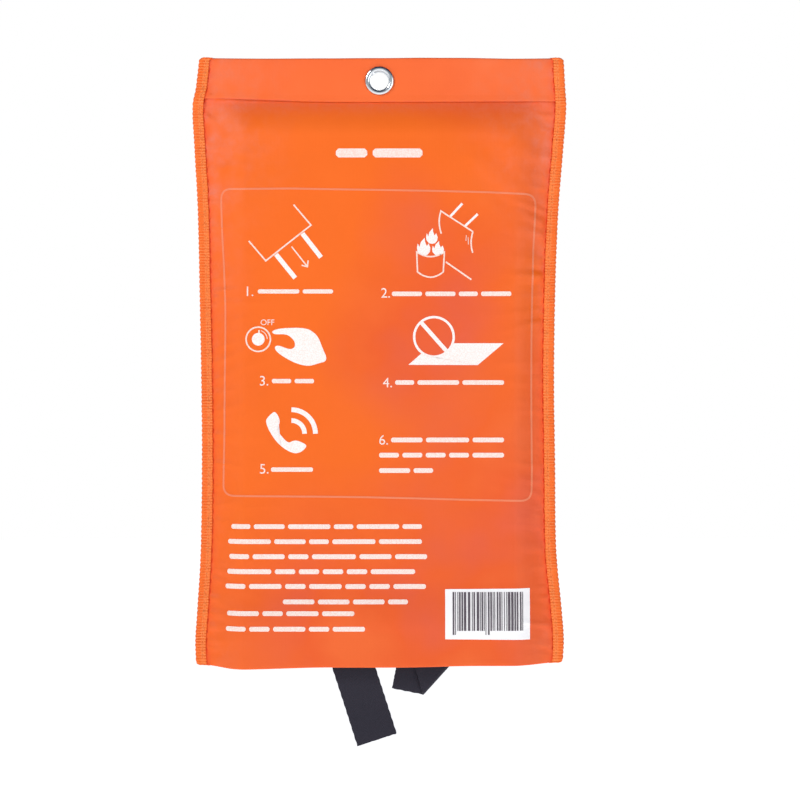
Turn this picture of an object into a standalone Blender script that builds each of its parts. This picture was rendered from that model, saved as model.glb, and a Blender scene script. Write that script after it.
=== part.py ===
"""A fire blanket, folded in a soft pouch that hangs on a wall by an eyelet.

Metres, +Z up. The origin is the centre of the eyelet. The printed front faces -Y and the back faces the wall, +Y.
The pouch is two coated-fabric panels bound together down the sides. The back panel runs over the top edge and comes
down the front as the header. The mouth is at the bottom, and the blanket slides down out of it by two webbing tapes.
"""

import math

import bmesh
import bpy
from mathutils import Matrix, Vector

# Driving sizes
GAP = 0.0003  # between pieces that touch
FABRIC = 0.0005  # thickness of the panels and of the binding tape
TOP_Z = 0.0115  # the header's top edge
HEADER_DROP = 0.0215  # length of the flap that comes down the front
PACK_DROP = 0.0120  # from the flap's lower edge down to the pack
MOUTH_ROOM = 0.0205  # from the pack down to the mouth
SIDE_ROOM = 0.01625  # from the pack out to the pouch's edge, at the waist
HEM = 0.0200  # width of the hem that is turned in at the mouth
BINDING_WIDTH = 0.0055
CORNER = 0.0018  # rounding of the pouch's four corners

# The pouch is drawn in at the waist, where the pack holds it tight, and is wider by this much at each side
TOP_FLARE = 0.0030
SHOULDER_FLARE = 0.00525
HIP_FLARE = 0.0040

# The folded blanket
PACK_WIDTH = 0.1430
PACK_HEIGHT = 0.2500
PACK_THICK = 0.0120
TONGUE_FRONT_Y = -0.0009  # the front of the hemmed edge that the tapes are sewn to

# Pull tapes
WEBBING_WIDTH = 0.0200
WEBBING_THICK = 0.0012
SEWN_LENGTH = 0.0280
LEFT_MOUTH_X = -0.0129  # where each tape's centre line passes the mouth
RIGHT_MOUTH_X = 0.0292
LEFT_LEAN = math.radians(18.0)
RIGHT_LEAN = math.radians(16.9)
LEFT_FREE = 0.0380  # length below the mouth along the tape
LEFT_PIVOT_DROP = 0.0052  # the left tape bends just below the mouth
PIVOT_ROOM = 0.0004  # between the right tape's bend and its folded end, along the tape
FOLD_DROP = 0.0053  # from the mouth down to where the fold meets the tape's centre line
FOLD_ANGLE = math.radians(47.8)  # the diagonal fold's slope
FOLD_RADIUS = 0.00075
FOLDED_LENGTH = 0.0208  # of the folded-back end, along its centre line

# Eyelet
HOLE_RADIUS = 0.00465
BARREL_WALL = 0.0004
FLANGE_WIDTH = 0.0026
ROLL_WIDTH = 0.00155
METAL = 0.0004

# Hook-and-loop patches
PATCH_WIDTH = 0.0200
PATCH_HEIGHT = 0.0150
PATCH_THICK = 0.0010
PATCH_BELOW_HEM = 0.0025

# Thread
THREAD_RADIUS = 0.00016
STITCH_PITCH = 0.0075
STITCH_SWING = 0.0009
BOX_WIDTH = 0.0140
BOX_LENGTH = 0.0220
BOX_THREAD = 0.00035

FLANGE_RADIUS = HOLE_RADIUS + FLANGE_WIDTH
ROLL_RADIUS = HOLE_RADIUS + ROLL_WIDTH

# Heights
FLAP_END_Z = TOP_Z - HEADER_DROP
PACK_TOP_Z = FLAP_END_Z - PACK_DROP
PACK_END_Z = PACK_TOP_Z - PACK_HEIGHT
MOUTH_Z = PACK_END_Z - MOUTH_ROOM
HEM_TOP_Z = MOUTH_Z + HEM

# Half widths, and the heights between which the sides curve
WAIST_HALF = PACK_WIDTH / 2 + SIDE_ROOM
SHOULDER_HALF = WAIST_HALF + SHOULDER_FLARE
TOP_HALF = WAIST_HALF + TOP_FLARE
HIP_HALF = WAIST_HALF + HIP_FLARE
SHOULDER_Z = FLAP_END_Z - 0.0020
HIP_Z = MOUTH_Z + 0.0135
WAIST_TOP_Z = SHOULDER_Z + (HIP_Z - SHOULDER_Z) * 0.468
WAIST_LOW_Z = SHOULDER_Z + (HIP_Z - SHOULDER_Z) * 0.667

# Layers: how far each panel's middle surface lies from the mid plane where the sides are sewn
PLY = FABRIC + GAP  # from one ply's middle to the next one's
PANEL_BASE = PLY / 2
FLAP_BASE = PANEL_BASE + PLY
PACK_GAP = PACK_THICK / 2 + GAP + FABRIC / 2
MOUTH_GAP = PACK_THICK / 2 + GAP + PATCH_THICK + GAP + FABRIC + GAP + FABRIC / 2 + GAP
HEM_RISE = 0.0090  # length over which the panels step out to take the hems
EDGE_INSET = FABRIC + GAP + 0.0007  # from the binding's outside to the panels' cut edges
SEAM_INSET = BINDING_WIDTH + 0.0006
BINDING_STEP = 0.0025  # length over which the binding steps out to take the flap as well
BINDING_STEP_Z = FLAP_END_Z - BINDING_STEP - 0.0010
FLAT_HALF = PACK_WIDTH / 2 - PACK_THICK / 2 + 0.0005  # the panels lie flat over the pack up to here
PATCH_CENTRE_X = FLAT_HALF - PATCH_WIDTH / 2
SWELL_TOP_Z = PACK_TOP_Z + PACK_DROP - 0.0020
SWELL_LENGTH = 0.0030 + PACK_THICK
STEP = PACK_THICK * 0.3  # height of the step from the front plies down to the tongue
TONGUE = STEP + SEWN_LENGTH + WEBBING_WIDTH / 2 * math.sin(max(LEFT_LEAN, RIGHT_LEAN)) + 0.0010
TAPE_Y = TONGUE_FRONT_Y - GAP - WEBBING_THICK / 2

# The right tape's fold, in the tape's own frame: the tape runs down -Z, and the fold lies along FOLD_LINE
FOLD_SLOPE = FOLD_ANGLE - RIGHT_LEAN
FOLD_LINE = Vector((math.cos(FOLD_SLOPE), 0.0, math.sin(FOLD_SLOPE)))
FOLD_OUT = Vector((math.sin(FOLD_SLOPE), 0.0, -math.cos(FOLD_SLOPE)))


def ease(t):
    """0 before 0, 1 after 1, and a smooth rise between."""
    t = min(1.0, max(0.0, t))
    return t * t * (3.0 - 2.0 * t)


def plain_half(z):
    """Half the pouch's width at a height, with square corners."""
    if z > SHOULDER_Z:
        return SHOULDER_HALF + (TOP_HALF - SHOULDER_HALF) * (z - SHOULDER_Z) / (TOP_Z - SHOULDER_Z)
    if z > WAIST_TOP_Z:
        t = (z - WAIST_TOP_Z) / (SHOULDER_Z - WAIST_TOP_Z)
        return WAIST_HALF + (SHOULDER_HALF - WAIST_HALF) * t**1.6
    if z > WAIST_LOW_Z:
        return WAIST_HALF
    t = min(1.0, (WAIST_LOW_Z - z) / (WAIST_LOW_Z - HIP_Z))
    return WAIST_HALF + (HIP_HALF - WAIST_HALF) * t**1.9


def corner_cut(z, inside=0.0):
    """How far the rounded corners take the side edge in at a height, for a ply that lies this far inside them."""
    depth = CORNER - max(0.0, min(TOP_Z - z - inside, z - MOUTH_Z - inside, CORNER))
    return CORNER - math.sqrt(max(0.0, CORNER**2 - depth**2))


def base_offset(z):
    """The panels' middle surface at the sewn sides: one ply near the middle, two where the mouth is hemmed."""
    return PANEL_BASE + PLY * ease((HEM_TOP_Z + HEM_RISE - z) / HEM_RISE)


def full_gap(z):
    """The panels' middle surface over the pack, from the mid plane."""
    mouth = ease((HEM_TOP_Z + HEM_RISE - z) / HEM_RISE)
    return PACK_GAP + (MOUTH_GAP - PACK_GAP) * mouth


def swell(x, z):
    """How far the pack holds a panel out from its sewn sides."""
    seam = plain_half(z) - SEAM_INSET
    across = 1.0 - ease((abs(x) - FLAT_HALF) / (seam - FLAT_HALF))
    down = ease((SWELL_TOP_Z - z) / SWELL_LENGTH)
    return (full_gap(z) - base_offset(z)) * across * down


def material(name, color, roughness, metallic=0.0):
    made = bpy.data.materials.new(name)
    made.use_nodes = True
    shader = made.node_tree.nodes["Principled BSDF"]
    shader.inputs["Base Color"].default_value = (*color, 1.0)
    shader.inputs["Roughness"].default_value = roughness
    shader.inputs["Metallic"].default_value = metallic
    return made


def add(name, bm, finish, parent=None):
    """Turn a bmesh into a named object with its finish."""
    bmesh.ops.recalc_face_normals(bm, faces=bm.faces)
    mesh = bpy.data.meshes.new(name)
    bm.to_mesh(mesh)
    bm.free()
    mesh.materials.append(finish)
    made = bpy.data.objects.new(name, mesh)
    bpy.context.collection.objects.link(made)
    made.parent = parent
    return made


def solidify(made, thickness):
    """Give a sheet its thickness, half to each side."""
    wall = made.modifiers.new("Thickness", "SOLIDIFY")
    wall.thickness = thickness
    wall.offset = 0.0
    wall.use_even_offset = True


def empty(name, place):
    made = bpy.data.objects.new(name, None)
    made.location = place
    bpy.context.collection.objects.link(made)
    return made


def strip_grid(columns, stations, place):
    """A sheet of quads: place(column, station) gives each corner of the grid."""
    bm = bmesh.new()
    last = None
    for station in stations:
        row = [bm.verts.new(place(column, station)) for column in columns]
        if last:
            for left in range(len(row) - 1):
                bm.faces.new((last[left], last[left + 1], row[left + 1], row[left]))
        last = row
    return bm


# Panels

PANEL_COLUMNS = [0.0, 0.35, 0.7, 1.0, 1.25, 1.5, 1.75, 2.0, 2.5, 3.0]


def column_x(column, z):
    """Columns 0 to 1 cross the flat, 1 to 2 the slope down to the seam, and 2 to 3 run under the binding."""
    size = abs(column)
    seam = plain_half(z) - SEAM_INSET
    edge = plain_half(z) - corner_cut(z, FABRIC) - EDGE_INSET
    if size <= 1.0:
        x = FLAT_HALF * size
    elif size <= 2.0:
        x = FLAT_HALF + (seam - FLAT_HALF) * (size - 1.0)
    else:
        x = seam + (edge - seam) * (size - 2.0)
    return math.copysign(x, column)


def side_heights():
    """The heights of the rows below the header, closer together where the panels bend."""
    swell_end = SWELL_TOP_Z - SWELL_LENGTH
    rise_top = HEM_TOP_Z + HEM_RISE
    body = 9
    heights = [SWELL_TOP_Z - SWELL_LENGTH * part for part in (0.2, 0.4, 0.6, 0.8, 1.0)]
    heights += [swell_end + (rise_top - swell_end) * row / body for row in range(1, body + 1)]
    heights += [rise_top - HEM_RISE * part for part in (0.25, 0.5, 0.75, 1.0)]
    return heights + [HEM_TOP_Z - HEM * 0.5]


def panel_route(top_z):
    """(height, distance in from the outer ply) down the panel, round the mouth and up the hem."""
    turn = PLY / 2
    centre = MOUTH_Z + FABRIC / 2 + turn
    heights = [top_z, SWELL_TOP_Z] + side_heights() + [MOUTH_Z + CORNER, MOUTH_Z + FABRIC + PLY / 2]
    route = [(z, 0.0) for z in heights]
    for step in range(1, 6):
        angle = math.pi * step / 6
        route.append((centre - turn * math.sin(angle), turn - turn * math.cos(angle)))
    route.append((MOUTH_Z + FABRIC + PLY / 2, PLY))
    route += [(MOUTH_Z + CORNER, PLY), (HEM_TOP_Z - HEM * 0.5, PLY), (HEM_TOP_Z, PLY)]
    return route


def header_route():
    """(height, offset towards -Y) from the flap's lower edge up the front and over the top edge."""
    radius = (FLAP_BASE + PANEL_BASE) / 2
    centre_z = TOP_Z - FABRIC / 2 - radius
    route = [(FLAP_END_Z, FLAP_BASE), (centre_z - CORNER, FLAP_BASE)]
    for step in range(7):
        angle = math.pi * step / 6
        route.append((centre_z + radius * math.sin(angle), FLAP_BASE - radius * (1.0 - math.cos(angle))))
    return route


def mirror_columns():
    return [-column for column in reversed(PANEL_COLUMNS[1:])] + PANEL_COLUMNS


def eyelet_cutter():
    """A drill through the header for the eyelet's barrel."""
    bm = bmesh.new()
    turn = Matrix.Rotation(math.pi / 2, 4, "X")
    bmesh.ops.create_cone(
        bm,
        cap_ends=True,
        segments=32,
        radius1=HOLE_RADIUS + BARREL_WALL + GAP,
        radius2=HOLE_RADIUS + BARREL_WALL + GAP,
        depth=PACK_THICK * 2,
        matrix=turn,
    )
    made = add("eyelet_drill", bm, FINISH["steel"])
    made.hide_render = True
    made.display_type = "WIRE"
    return made


def drill(made, cutter):
    cut = made.modifiers.new("Eyelet hole", "BOOLEAN")
    cut.operation = "DIFFERENCE"
    cut.object = cutter


def front_panel(cutter):
    """The printed panel: its top edge lies inside the header fold."""
    top_z = TOP_Z - FABRIC - GAP - 0.0008

    def place(column, station):
        z, inward = station
        x = column_x(column, z)
        return x, -(base_offset(z) + swell(x, z)) + inward, z

    made = add("front_panel", strip_grid(mirror_columns(), panel_route(top_z), place), FINISH["printed"])
    solidify(made, FABRIC)
    drill(made, cutter)


def rear_panel(cutter):
    """The back panel and the header flap are one piece of fabric."""
    over_top = [(z, -offset, True) for z, offset in header_route()]
    below = [(z, inward, False) for z, inward in panel_route(0.0)[1:]]

    def place(column, station):
        z, value, header = station
        x = column_x(column, z)
        return (x, value, z) if header else (x, base_offset(z) + swell(x, z) - value, z)

    made = add("rear_panel", strip_grid(mirror_columns(), over_top + below, place), FINISH["plain"])
    solidify(made, FABRIC)
    drill(made, cutter)


# Bindings


def front_room(z):
    """From the mid plane to the inside of the binding, in front: the header takes one ply more."""
    header = ease((z - BINDING_STEP_Z) / BINDING_STEP)
    return base_offset(z) + FABRIC / 2 + GAP + PLY * header


def rear_room(z):
    return base_offset(z) + FABRIC / 2 + GAP


def binding_heights():
    ends = [CORNER * part for part in (0.0, 0.08, 0.3, 0.65, 1.0)]
    heights = [TOP_Z - drop for drop in ends] + [0.0, FLAP_END_Z]
    heights += [BINDING_STEP_Z + BINDING_STEP * part for part in (1.0, 0.67, 0.33, 0.0)]
    heights += side_heights()
    heights += [MOUTH_Z + rise for rise in reversed(ends)]
    return heights


def binding(name, side):
    """A tape folded round both panels' cut edges."""
    around = 8

    def place(step, z):
        half = FABRIC / 2
        front = front_room(z) + half
        rear = rear_room(z) + half
        middle = (rear - front) / 2
        reach = (rear + front) / 2
        outer = plain_half(z) - corner_cut(z) - half
        inner = plain_half(z) - BINDING_WIDTH
        if step == 0:
            return side * inner, -front, z
        if step == around:
            return side * inner, rear, z
        angle = math.pi * (step - 1) / (around - 2)
        bend = min(reach, 0.0016)
        x = outer - bend + bend * math.sin(angle)
        return side * x, middle - reach * math.cos(angle), z

    bm = strip_grid(range(around + 1), binding_heights(), place)
    solidify(add(name, bm, FINISH["binding"]), FABRIC)


def seam(name, side, face):
    """The zigzag row of thread that holds the binding: face is -1 in front and 1 behind."""
    room = front_room if face < 0 else rear_room
    margin = CORNER + 0.001
    count = int((TOP_Z - MOUTH_Z - 2 * margin) / (STITCH_PITCH / 2))
    curve = bpy.data.curves.new(name, "CURVE")
    curve.dimensions = "3D"
    curve.bevel_depth = THREAD_RADIUS
    curve.bevel_resolution = 0
    curve.use_fill_caps = True
    line = curve.splines.new("POLY")
    line.points.add(count - 1)
    for index in range(count):
        z = TOP_Z - margin - index * STITCH_PITCH / 2
        x = plain_half(z) - BINDING_WIDTH * 0.55 + STITCH_SWING * (-1) ** index
        nearby = max(room(z + STITCH_PITCH * part) for part in (-0.5, 0.0, 0.5))
        y = nearby + FABRIC + GAP + THREAD_RADIUS * 1.5
        line.points[index].co = (side * x, face * y, z, 1.0)
    made = bpy.data.objects.new(name, curve)
    curve.materials.append(FINISH["thread"])
    bpy.context.collection.objects.link(made)


# Eyelet


def turned(name, outline, finish, segments=32):
    """A ring turned about the Y axis from an outline of (radius, y) points."""
    bm = bmesh.new()
    ring = [bm.verts.new((radius, y, 0.0)) for radius, y in outline]
    face = bm.faces.new(ring)
    edges = list(face.edges)
    bmesh.ops.delete(bm, geom=[face], context="FACES_ONLY")
    bmesh.ops.spin(
        bm,
        geom=edges + ring,
        cent=(0.0, 0.0, 0.0),
        axis=(0.0, 1.0, 0.0),
        angle=math.tau,
        steps=segments,
        use_merge=True,
    )
    bmesh.ops.remove_doubles(bm, verts=bm.verts, dist=1e-6)
    made = add(name, bm, finish)
    made.data.shade_smooth()
    made.data.set_sharp_from_angle(angle=math.radians(40))


def eyelet():
    """The flange and barrel are one piece, rolled over a washer behind the header."""
    face_y = -(FLAP_BASE + FABRIC / 2 + GAP)
    back_y = PANEL_BASE + FABRIC / 2 + GAP
    barrel = HOLE_RADIUS + BARREL_WALL
    crown = face_y - METAL - 0.0006
    roll_y = back_y + METAL + GAP
    outline = [(FLANGE_RADIUS, face_y), (FLANGE_RADIUS + 0.00005, face_y - METAL)]
    outline += [(FLANGE_RADIUS - 0.0005, crown + 0.0001), (FLANGE_RADIUS - 0.0012, crown)]
    outline += [(HOLE_RADIUS + 0.0009, crown + 0.0001), (HOLE_RADIUS + 0.0002, crown + 0.0006)]
    outline += [(HOLE_RADIUS, crown + 0.0014), (HOLE_RADIUS, roll_y + METAL)]
    outline += [(HOLE_RADIUS + 0.0003, roll_y + METAL * 1.9), (ROLL_RADIUS - 0.0003, roll_y + METAL * 1.9)]
    outline += [(ROLL_RADIUS, roll_y + METAL), (ROLL_RADIUS - 0.0001, roll_y)]
    outline += [(barrel, roll_y), (barrel, face_y - 0.0001), (barrel + 0.0003, face_y)]
    turned("eyelet_flange", outline, FINISH["steel"])
    inner = barrel + GAP
    outer = FLANGE_RADIUS
    washer = [(inner, back_y), (outer, back_y), (outer, back_y + METAL * 0.6)]
    washer += [(outer - 0.0003, back_y + METAL), (inner, back_y + METAL)]
    turned("eyelet_washer", washer, FINISH["steel"])


# Hook-and-loop patches


def patch(name, side, face, finish):
    """A patch on the inside of the hem: face is -1 on the front panel and 1 on the rear one."""
    bm = bmesh.new()
    bmesh.ops.create_cube(bm, size=1.0)
    bmesh.ops.scale(bm, vec=(PATCH_WIDTH, PATCH_THICK, PATCH_HEIGHT), verts=bm.verts)
    made = add(name, bm, finish)
    inside = MOUTH_GAP - PLY - FABRIC / 2 - GAP
    made.location = (
        side * PATCH_CENTRE_X,
        face * (inside - PATCH_THICK / 2),
        HEM_TOP_Z - PATCH_BELOW_HEM - PATCH_HEIGHT / 2,
    )
    corners = made.modifiers.new("Corners", "BEVEL")
    corners.width = PATCH_THICK * 0.4
    corners.segments = 2


# The blanket and its tapes


def pack_stations():
    """(height, front, back) down the folded pack, rounded where the cloth turns."""
    half = PACK_THICK / 2
    step_z = PACK_END_Z + TONGUE
    bottom = PACK_END_Z
    tongue_half = (half - TONGUE_FRONT_Y) / 2
    tongue_middle = half - tongue_half
    stations = []
    for angle in (math.radians(turn) for turn in (12, 35, 60, 90)):
        reach = half * math.sin(angle)
        stations.append((PACK_TOP_Z - half * (1.0 - math.cos(angle)), -reach, reach))
    for part in (0.0, 0.35, 0.7, 1.0):
        front = -half + (TONGUE_FRONT_Y + half) * ease(part)
        stations.append((step_z - part * STEP, front, half))
    for angle in (math.radians(turn) for turn in (90, 60, 35, 12)):
        reach = tongue_half * math.sin(angle)
        z = bottom + tongue_half * (1.0 - math.cos(angle))
        stations.append((z, tongue_middle - reach, tongue_middle + reach))
    return stations


def blanket_cloth(parent):
    """The folded pack: full thickness above, and the hemmed rear plies standing below."""
    bm = bmesh.new()
    turns = 6
    reach = (PACK_WIDTH - PACK_THICK) / 2
    rings = []
    for z, front, back in pack_stations():
        radius = (back - front) / 2
        ring = []
        for side in (1, -1):
            for step in range(turns + 1):
                angle = side * math.pi / 2 - math.pi * step / turns
                x = side * reach + radius * math.cos(angle)
                ring.append(bm.verts.new((x, (front + back) / 2 + radius * math.sin(angle), z - PACK_TOP_Z)))
        rings.append(ring)
    for upper, lower in zip(rings, rings[1:]):
        for index in range(len(upper)):
            after = (index + 1) % len(upper)
            bm.faces.new((upper[index], upper[after], lower[after], lower[index]))
    bm.faces.new(rings[0])
    bm.faces.new(rings[-1])
    add("blanket_cloth", bm, FINISH["cloth"], parent)


def tape_frame(mouth_x, lean, drop):
    """Where a leaning tape's centre line is, a distance down it from the mouth, and its turn about Y."""
    place = Vector((mouth_x + drop * math.sin(lean), TAPE_Y, MOUTH_Z - drop * math.cos(lean)))
    return place, -lean


def tape_strip(name, start, end, finish, parent, place, turn, round_top):
    """A straight length of webbing from start down to end, in its own frame."""
    bm = bmesh.new()
    bmesh.ops.create_cube(bm, size=1.0)
    bmesh.ops.scale(bm, vec=(WEBBING_WIDTH, WEBBING_THICK, end - start), verts=bm.verts)
    bmesh.ops.translate(bm, vec=(0.0, 0.0, -(start + end) / 2), verts=bm.verts)
    if round_top:
        top = [e for e in bm.edges if all(abs(v.co.z + start) < 1e-6 for v in e.verts)]
        across = [e for e in top if abs(e.verts[0].co.x - e.verts[1].co.x) > WEBBING_WIDTH / 2]
        bmesh.ops.bevel(
            bm,
            geom=across,
            offset=WEBBING_THICK * 0.49,
            segments=4,
            profile=0.5,
            affect="EDGES",
            material=-1,
        )
    made = add(name, bm, finish, parent)
    made.location = place - (parent.location if parent else Vector())
    made.rotation_euler = (0.0, turn, 0.0)
    return made


def folded_rows(fold):
    """(left corner, right corner) of the folded tape below a place on its centre line, in the tape's own frame.

    Each row round the fold lies along it and creeps sideways, so the webbing keeps its width all the way.
    """
    down = Vector((0.0, 0.0, -1.0))
    creep = down.dot(FOLD_LINE) / down.dot(FOLD_OUT)
    half_row = FOLD_LINE * (WEBBING_WIDTH / 2 / math.cos(FOLD_SLOPE))
    behind = Vector((0.0, FOLD_RADIUS, 0.0))
    steps = 6
    rows = []
    for step in range(steps + 1):
        angle = math.pi * step / steps
        middle = fold + behind + FOLD_RADIUS * math.sin(angle) * FOLD_OUT - math.cos(angle) * behind
        middle += FOLD_LINE * creep * FOLD_RADIUS * angle
        rows.append((middle - half_row, middle + half_row))
    folded_way = 2.0 * down.dot(FOLD_LINE) * FOLD_LINE - down
    end = (rows[-1][0] + rows[-1][1]) / 2 + folded_way * FOLDED_LENGTH
    across = Vector((-folded_way.z, 0.0, folded_way.x)) * WEBBING_WIDTH / 2
    if across.dot(FOLD_LINE) < 0:
        across = -across
    rows.append((end - across, end + across))
    return rows


def right_pivot_rise():
    """How far above the mouth the right tape has to bend for all of its folded end to hang below the bend."""
    highest = max(corner.z for row in folded_rows(Vector()) for corner in row)
    return highest - FOLD_DROP + WEBBING_THICK + PIVOT_ROOM


def folded_tape(name, finish, parent, place, turn, pivot_to_mouth):
    """The right tape's end: down past the mouth, then back on itself round a diagonal fold."""
    top = -WEBBING_THICK / 2
    rows = [(Vector((-WEBBING_WIDTH / 2, 0.0, top)), Vector((WEBBING_WIDTH / 2, 0.0, top)))]
    rows += folded_rows(Vector((0.0, 0.0, -(pivot_to_mouth + FOLD_DROP))))
    made = add(name, strip_grid((0, 1), rows, lambda column, row: row[column]), finish, parent)
    made.location = place - parent.location
    made.rotation_euler = (0.0, turn, 0.0)
    solidify(made, WEBBING_THICK)


def tape_stitching(name, parent, root, middle):
    """A box of stitches with a cross in it, in front of the tape's sewn length, middle above the tape's pivot."""
    bm = bmesh.new()
    bmesh.ops.create_grid(bm, x_segments=1, y_segments=1, size=0.5)
    bmesh.ops.scale(bm, vec=(BOX_WIDTH, BOX_LENGTH, 1.0), verts=bm.verts)
    bmesh.ops.rotate(bm, matrix=Matrix.Rotation(math.pi / 2, 3, "X"), verts=bm.verts)
    bmesh.ops.poke(bm, faces=bm.faces)
    made = add(name, bm, FINISH["thread"], parent)
    offset = Vector((0.0, -(WEBBING_THICK / 2 + GAP + BOX_THREAD / 2), middle))
    made.location = root.location + Matrix.Rotation(root.rotation_euler.y, 3, "Y") @ offset
    made.rotation_euler = root.rotation_euler
    rows = made.modifiers.new("Rows of thread", "WIREFRAME")
    rows.thickness = BOX_THREAD
    rows.use_boundary = True
    rows.use_replace = True
    rows.use_even_offset = True


for old in list(bpy.data.objects):
    bpy.data.objects.remove(old, do_unlink=True)

FINISH = {
    "printed": material("coated fabric, printed", (0.90, 0.16, 0.025), 0.45),
    "plain": material("coated fabric", (0.92, 0.17, 0.035), 0.42),
    "binding": material("ribbed binding tape", (0.85, 0.14, 0.02), 0.65),
    "thread": material("sewing thread", (0.70, 0.08, 0.015), 0.7),
    "steel": material("plated steel", (0.62, 0.63, 0.64), 0.2, 1.0),
    "hook": material("hook tape", (0.03, 0.03, 0.035), 0.8),
    "loop": material("loop tape", (0.04, 0.04, 0.045), 0.95),
    "cloth": material("glass-fibre cloth", (0.82, 0.80, 0.74), 0.75),
    "webbing": material("webbing", (0.045, 0.030, 0.036), 0.85),
}

drill_body = eyelet_cutter()
front_panel(drill_body)
rear_panel(drill_body)
for hand, side in (("left", -1), ("right", 1)):
    binding(f"{hand}_binding", side)
    seam(f"{hand}_front_seam", side, -1)
    seam(f"{hand}_rear_seam", side, 1)
    patch(f"{hand}_hook_patch", side, -1, FINISH["hook"])
    patch(f"{hand}_loop_patch", side, 1, FINISH["loop"])
eyelet()

blanket = empty("blanket_slide", (0.0, 0.0, PACK_TOP_Z))
blanket_cloth(blanket)
for hand, mouth_x, lean, drop in (
    ("left", LEFT_MOUTH_X, LEFT_LEAN, LEFT_PIVOT_DROP),
    ("right", RIGHT_MOUTH_X, RIGHT_LEAN, -right_pivot_rise()),
):
    place, turn = tape_frame(mouth_x, lean, drop)
    sewn_from = drop + MOUTH_ROOM / math.cos(lean)
    top = -(sewn_from + SEWN_LENGTH)
    root = tape_strip(
        f"{hand}_tape_root", top, -WEBBING_THICK / 2 - GAP, FINISH["webbing"], blanket, place, turn, False
    )
    tape_stitching(f"{hand}_tape_stitching", blanket, root, sewn_from + SEWN_LENGTH / 2)
    pivot = empty(f"{hand}_tape_pivot", place)
    if hand == "left":
        tape_strip(
            "left_tape_end", -WEBBING_THICK / 2, LEFT_FREE - drop, FINISH["webbing"], pivot, place, turn, True
        )
    else:
        folded_tape("right_tape_end", FINISH["webbing"], pivot, place, turn, -drop)
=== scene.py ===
import math
import random

import bmesh
import bpy
from mathutils import Matrix, Vector, noise
from mathutils.bvhtree import BVHTree


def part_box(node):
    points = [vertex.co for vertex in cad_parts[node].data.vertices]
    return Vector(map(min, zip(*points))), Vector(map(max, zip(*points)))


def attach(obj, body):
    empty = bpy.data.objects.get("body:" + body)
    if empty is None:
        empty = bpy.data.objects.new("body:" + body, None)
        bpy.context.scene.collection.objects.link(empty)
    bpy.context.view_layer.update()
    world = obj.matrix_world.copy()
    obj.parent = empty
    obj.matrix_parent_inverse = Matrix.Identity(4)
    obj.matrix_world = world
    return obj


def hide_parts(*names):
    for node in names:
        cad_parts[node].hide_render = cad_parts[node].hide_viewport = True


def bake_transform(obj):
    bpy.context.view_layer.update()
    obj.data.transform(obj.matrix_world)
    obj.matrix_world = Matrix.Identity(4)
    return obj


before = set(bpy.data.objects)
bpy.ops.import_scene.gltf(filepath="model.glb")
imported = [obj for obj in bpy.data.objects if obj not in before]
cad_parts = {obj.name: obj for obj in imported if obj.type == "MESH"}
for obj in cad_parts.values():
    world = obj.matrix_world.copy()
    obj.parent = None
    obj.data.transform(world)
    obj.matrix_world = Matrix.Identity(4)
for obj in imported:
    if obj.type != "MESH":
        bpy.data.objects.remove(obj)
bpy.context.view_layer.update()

# --- Stage, camera and light ----------------------------------------------------------
# A plain pale floor well below the hanging pouch, a white studio, and soft light from the front and
# upper left. The camera looks straight at the printed side, at the height of the pouch's middle.

VIEW_WIDTH = 0.400  # of the picture, at the pouch
VIEW_CENTRE = (0.01025, -0.15935)
LENS = 85.0
SENSOR = 36.0


def rgb(code):
    """The linear colour of an sRGB hex value."""
    channels = [int(code[i : i + 2], 16) / 255 for i in (1, 3, 5)]
    return [c / 12.92 if c <= 0.04045 else ((c + 0.055) / 1.055) ** 2.4 for c in channels] + [1.0]


def node(tree, kind, inputs=None, **settings):
    """One shader node. Each input is set to a value, or linked from a (node, output) pair."""
    made = tree.nodes.new("ShaderNode" + kind)
    for name, value in settings.items():
        setattr(made, name, value)
    for name, value in (inputs or {}).items():
        if isinstance(value, tuple) and isinstance(value[0], bpy.types.Node):
            tree.links.new(value[0].outputs[value[1]], made.inputs[name])
        else:
            made.inputs[name].default_value = value
    return made


def blank(name):
    """A new material with an empty node tree."""
    made = bpy.data.materials.new(name)
    made.use_nodes = True
    made.node_tree.nodes.clear()
    return made, made.node_tree


def surface(made, inputs):
    """Ends a material: its shader, with these inputs, and its output."""
    shader = node(made.node_tree, "BsdfPrincipled", inputs)
    node(made.node_tree, "OutputMaterial", {0: (shader, 0)})
    return made


def piece(name, bm, finish, smooth=True):
    """A finished bmesh as a named object at the origin."""
    mesh = bpy.data.meshes.new(name)
    bm.to_mesh(mesh)
    bm.free()
    mesh.materials.append(finish)
    if smooth:
        mesh.shade_smooth()
    made = bpy.data.objects.new(name, mesh)
    bpy.context.collection.objects.link(made)
    return made


scene = bpy.context.scene
scene.view_settings.view_transform = "Standard"

camera = bpy.data.objects.new("camera", bpy.data.cameras.new("camera"))
camera.data.lens = LENS
camera.data.sensor_width = SENSOR
camera.data.clip_start = 0.01
camera.location = (VIEW_CENTRE[0], -VIEW_WIDTH * LENS / SENSOR, VIEW_CENTRE[1])
camera.rotation_euler = (math.pi / 2, 0.0, 0.0)
scene.collection.objects.link(camera)
scene.camera = camera

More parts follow.
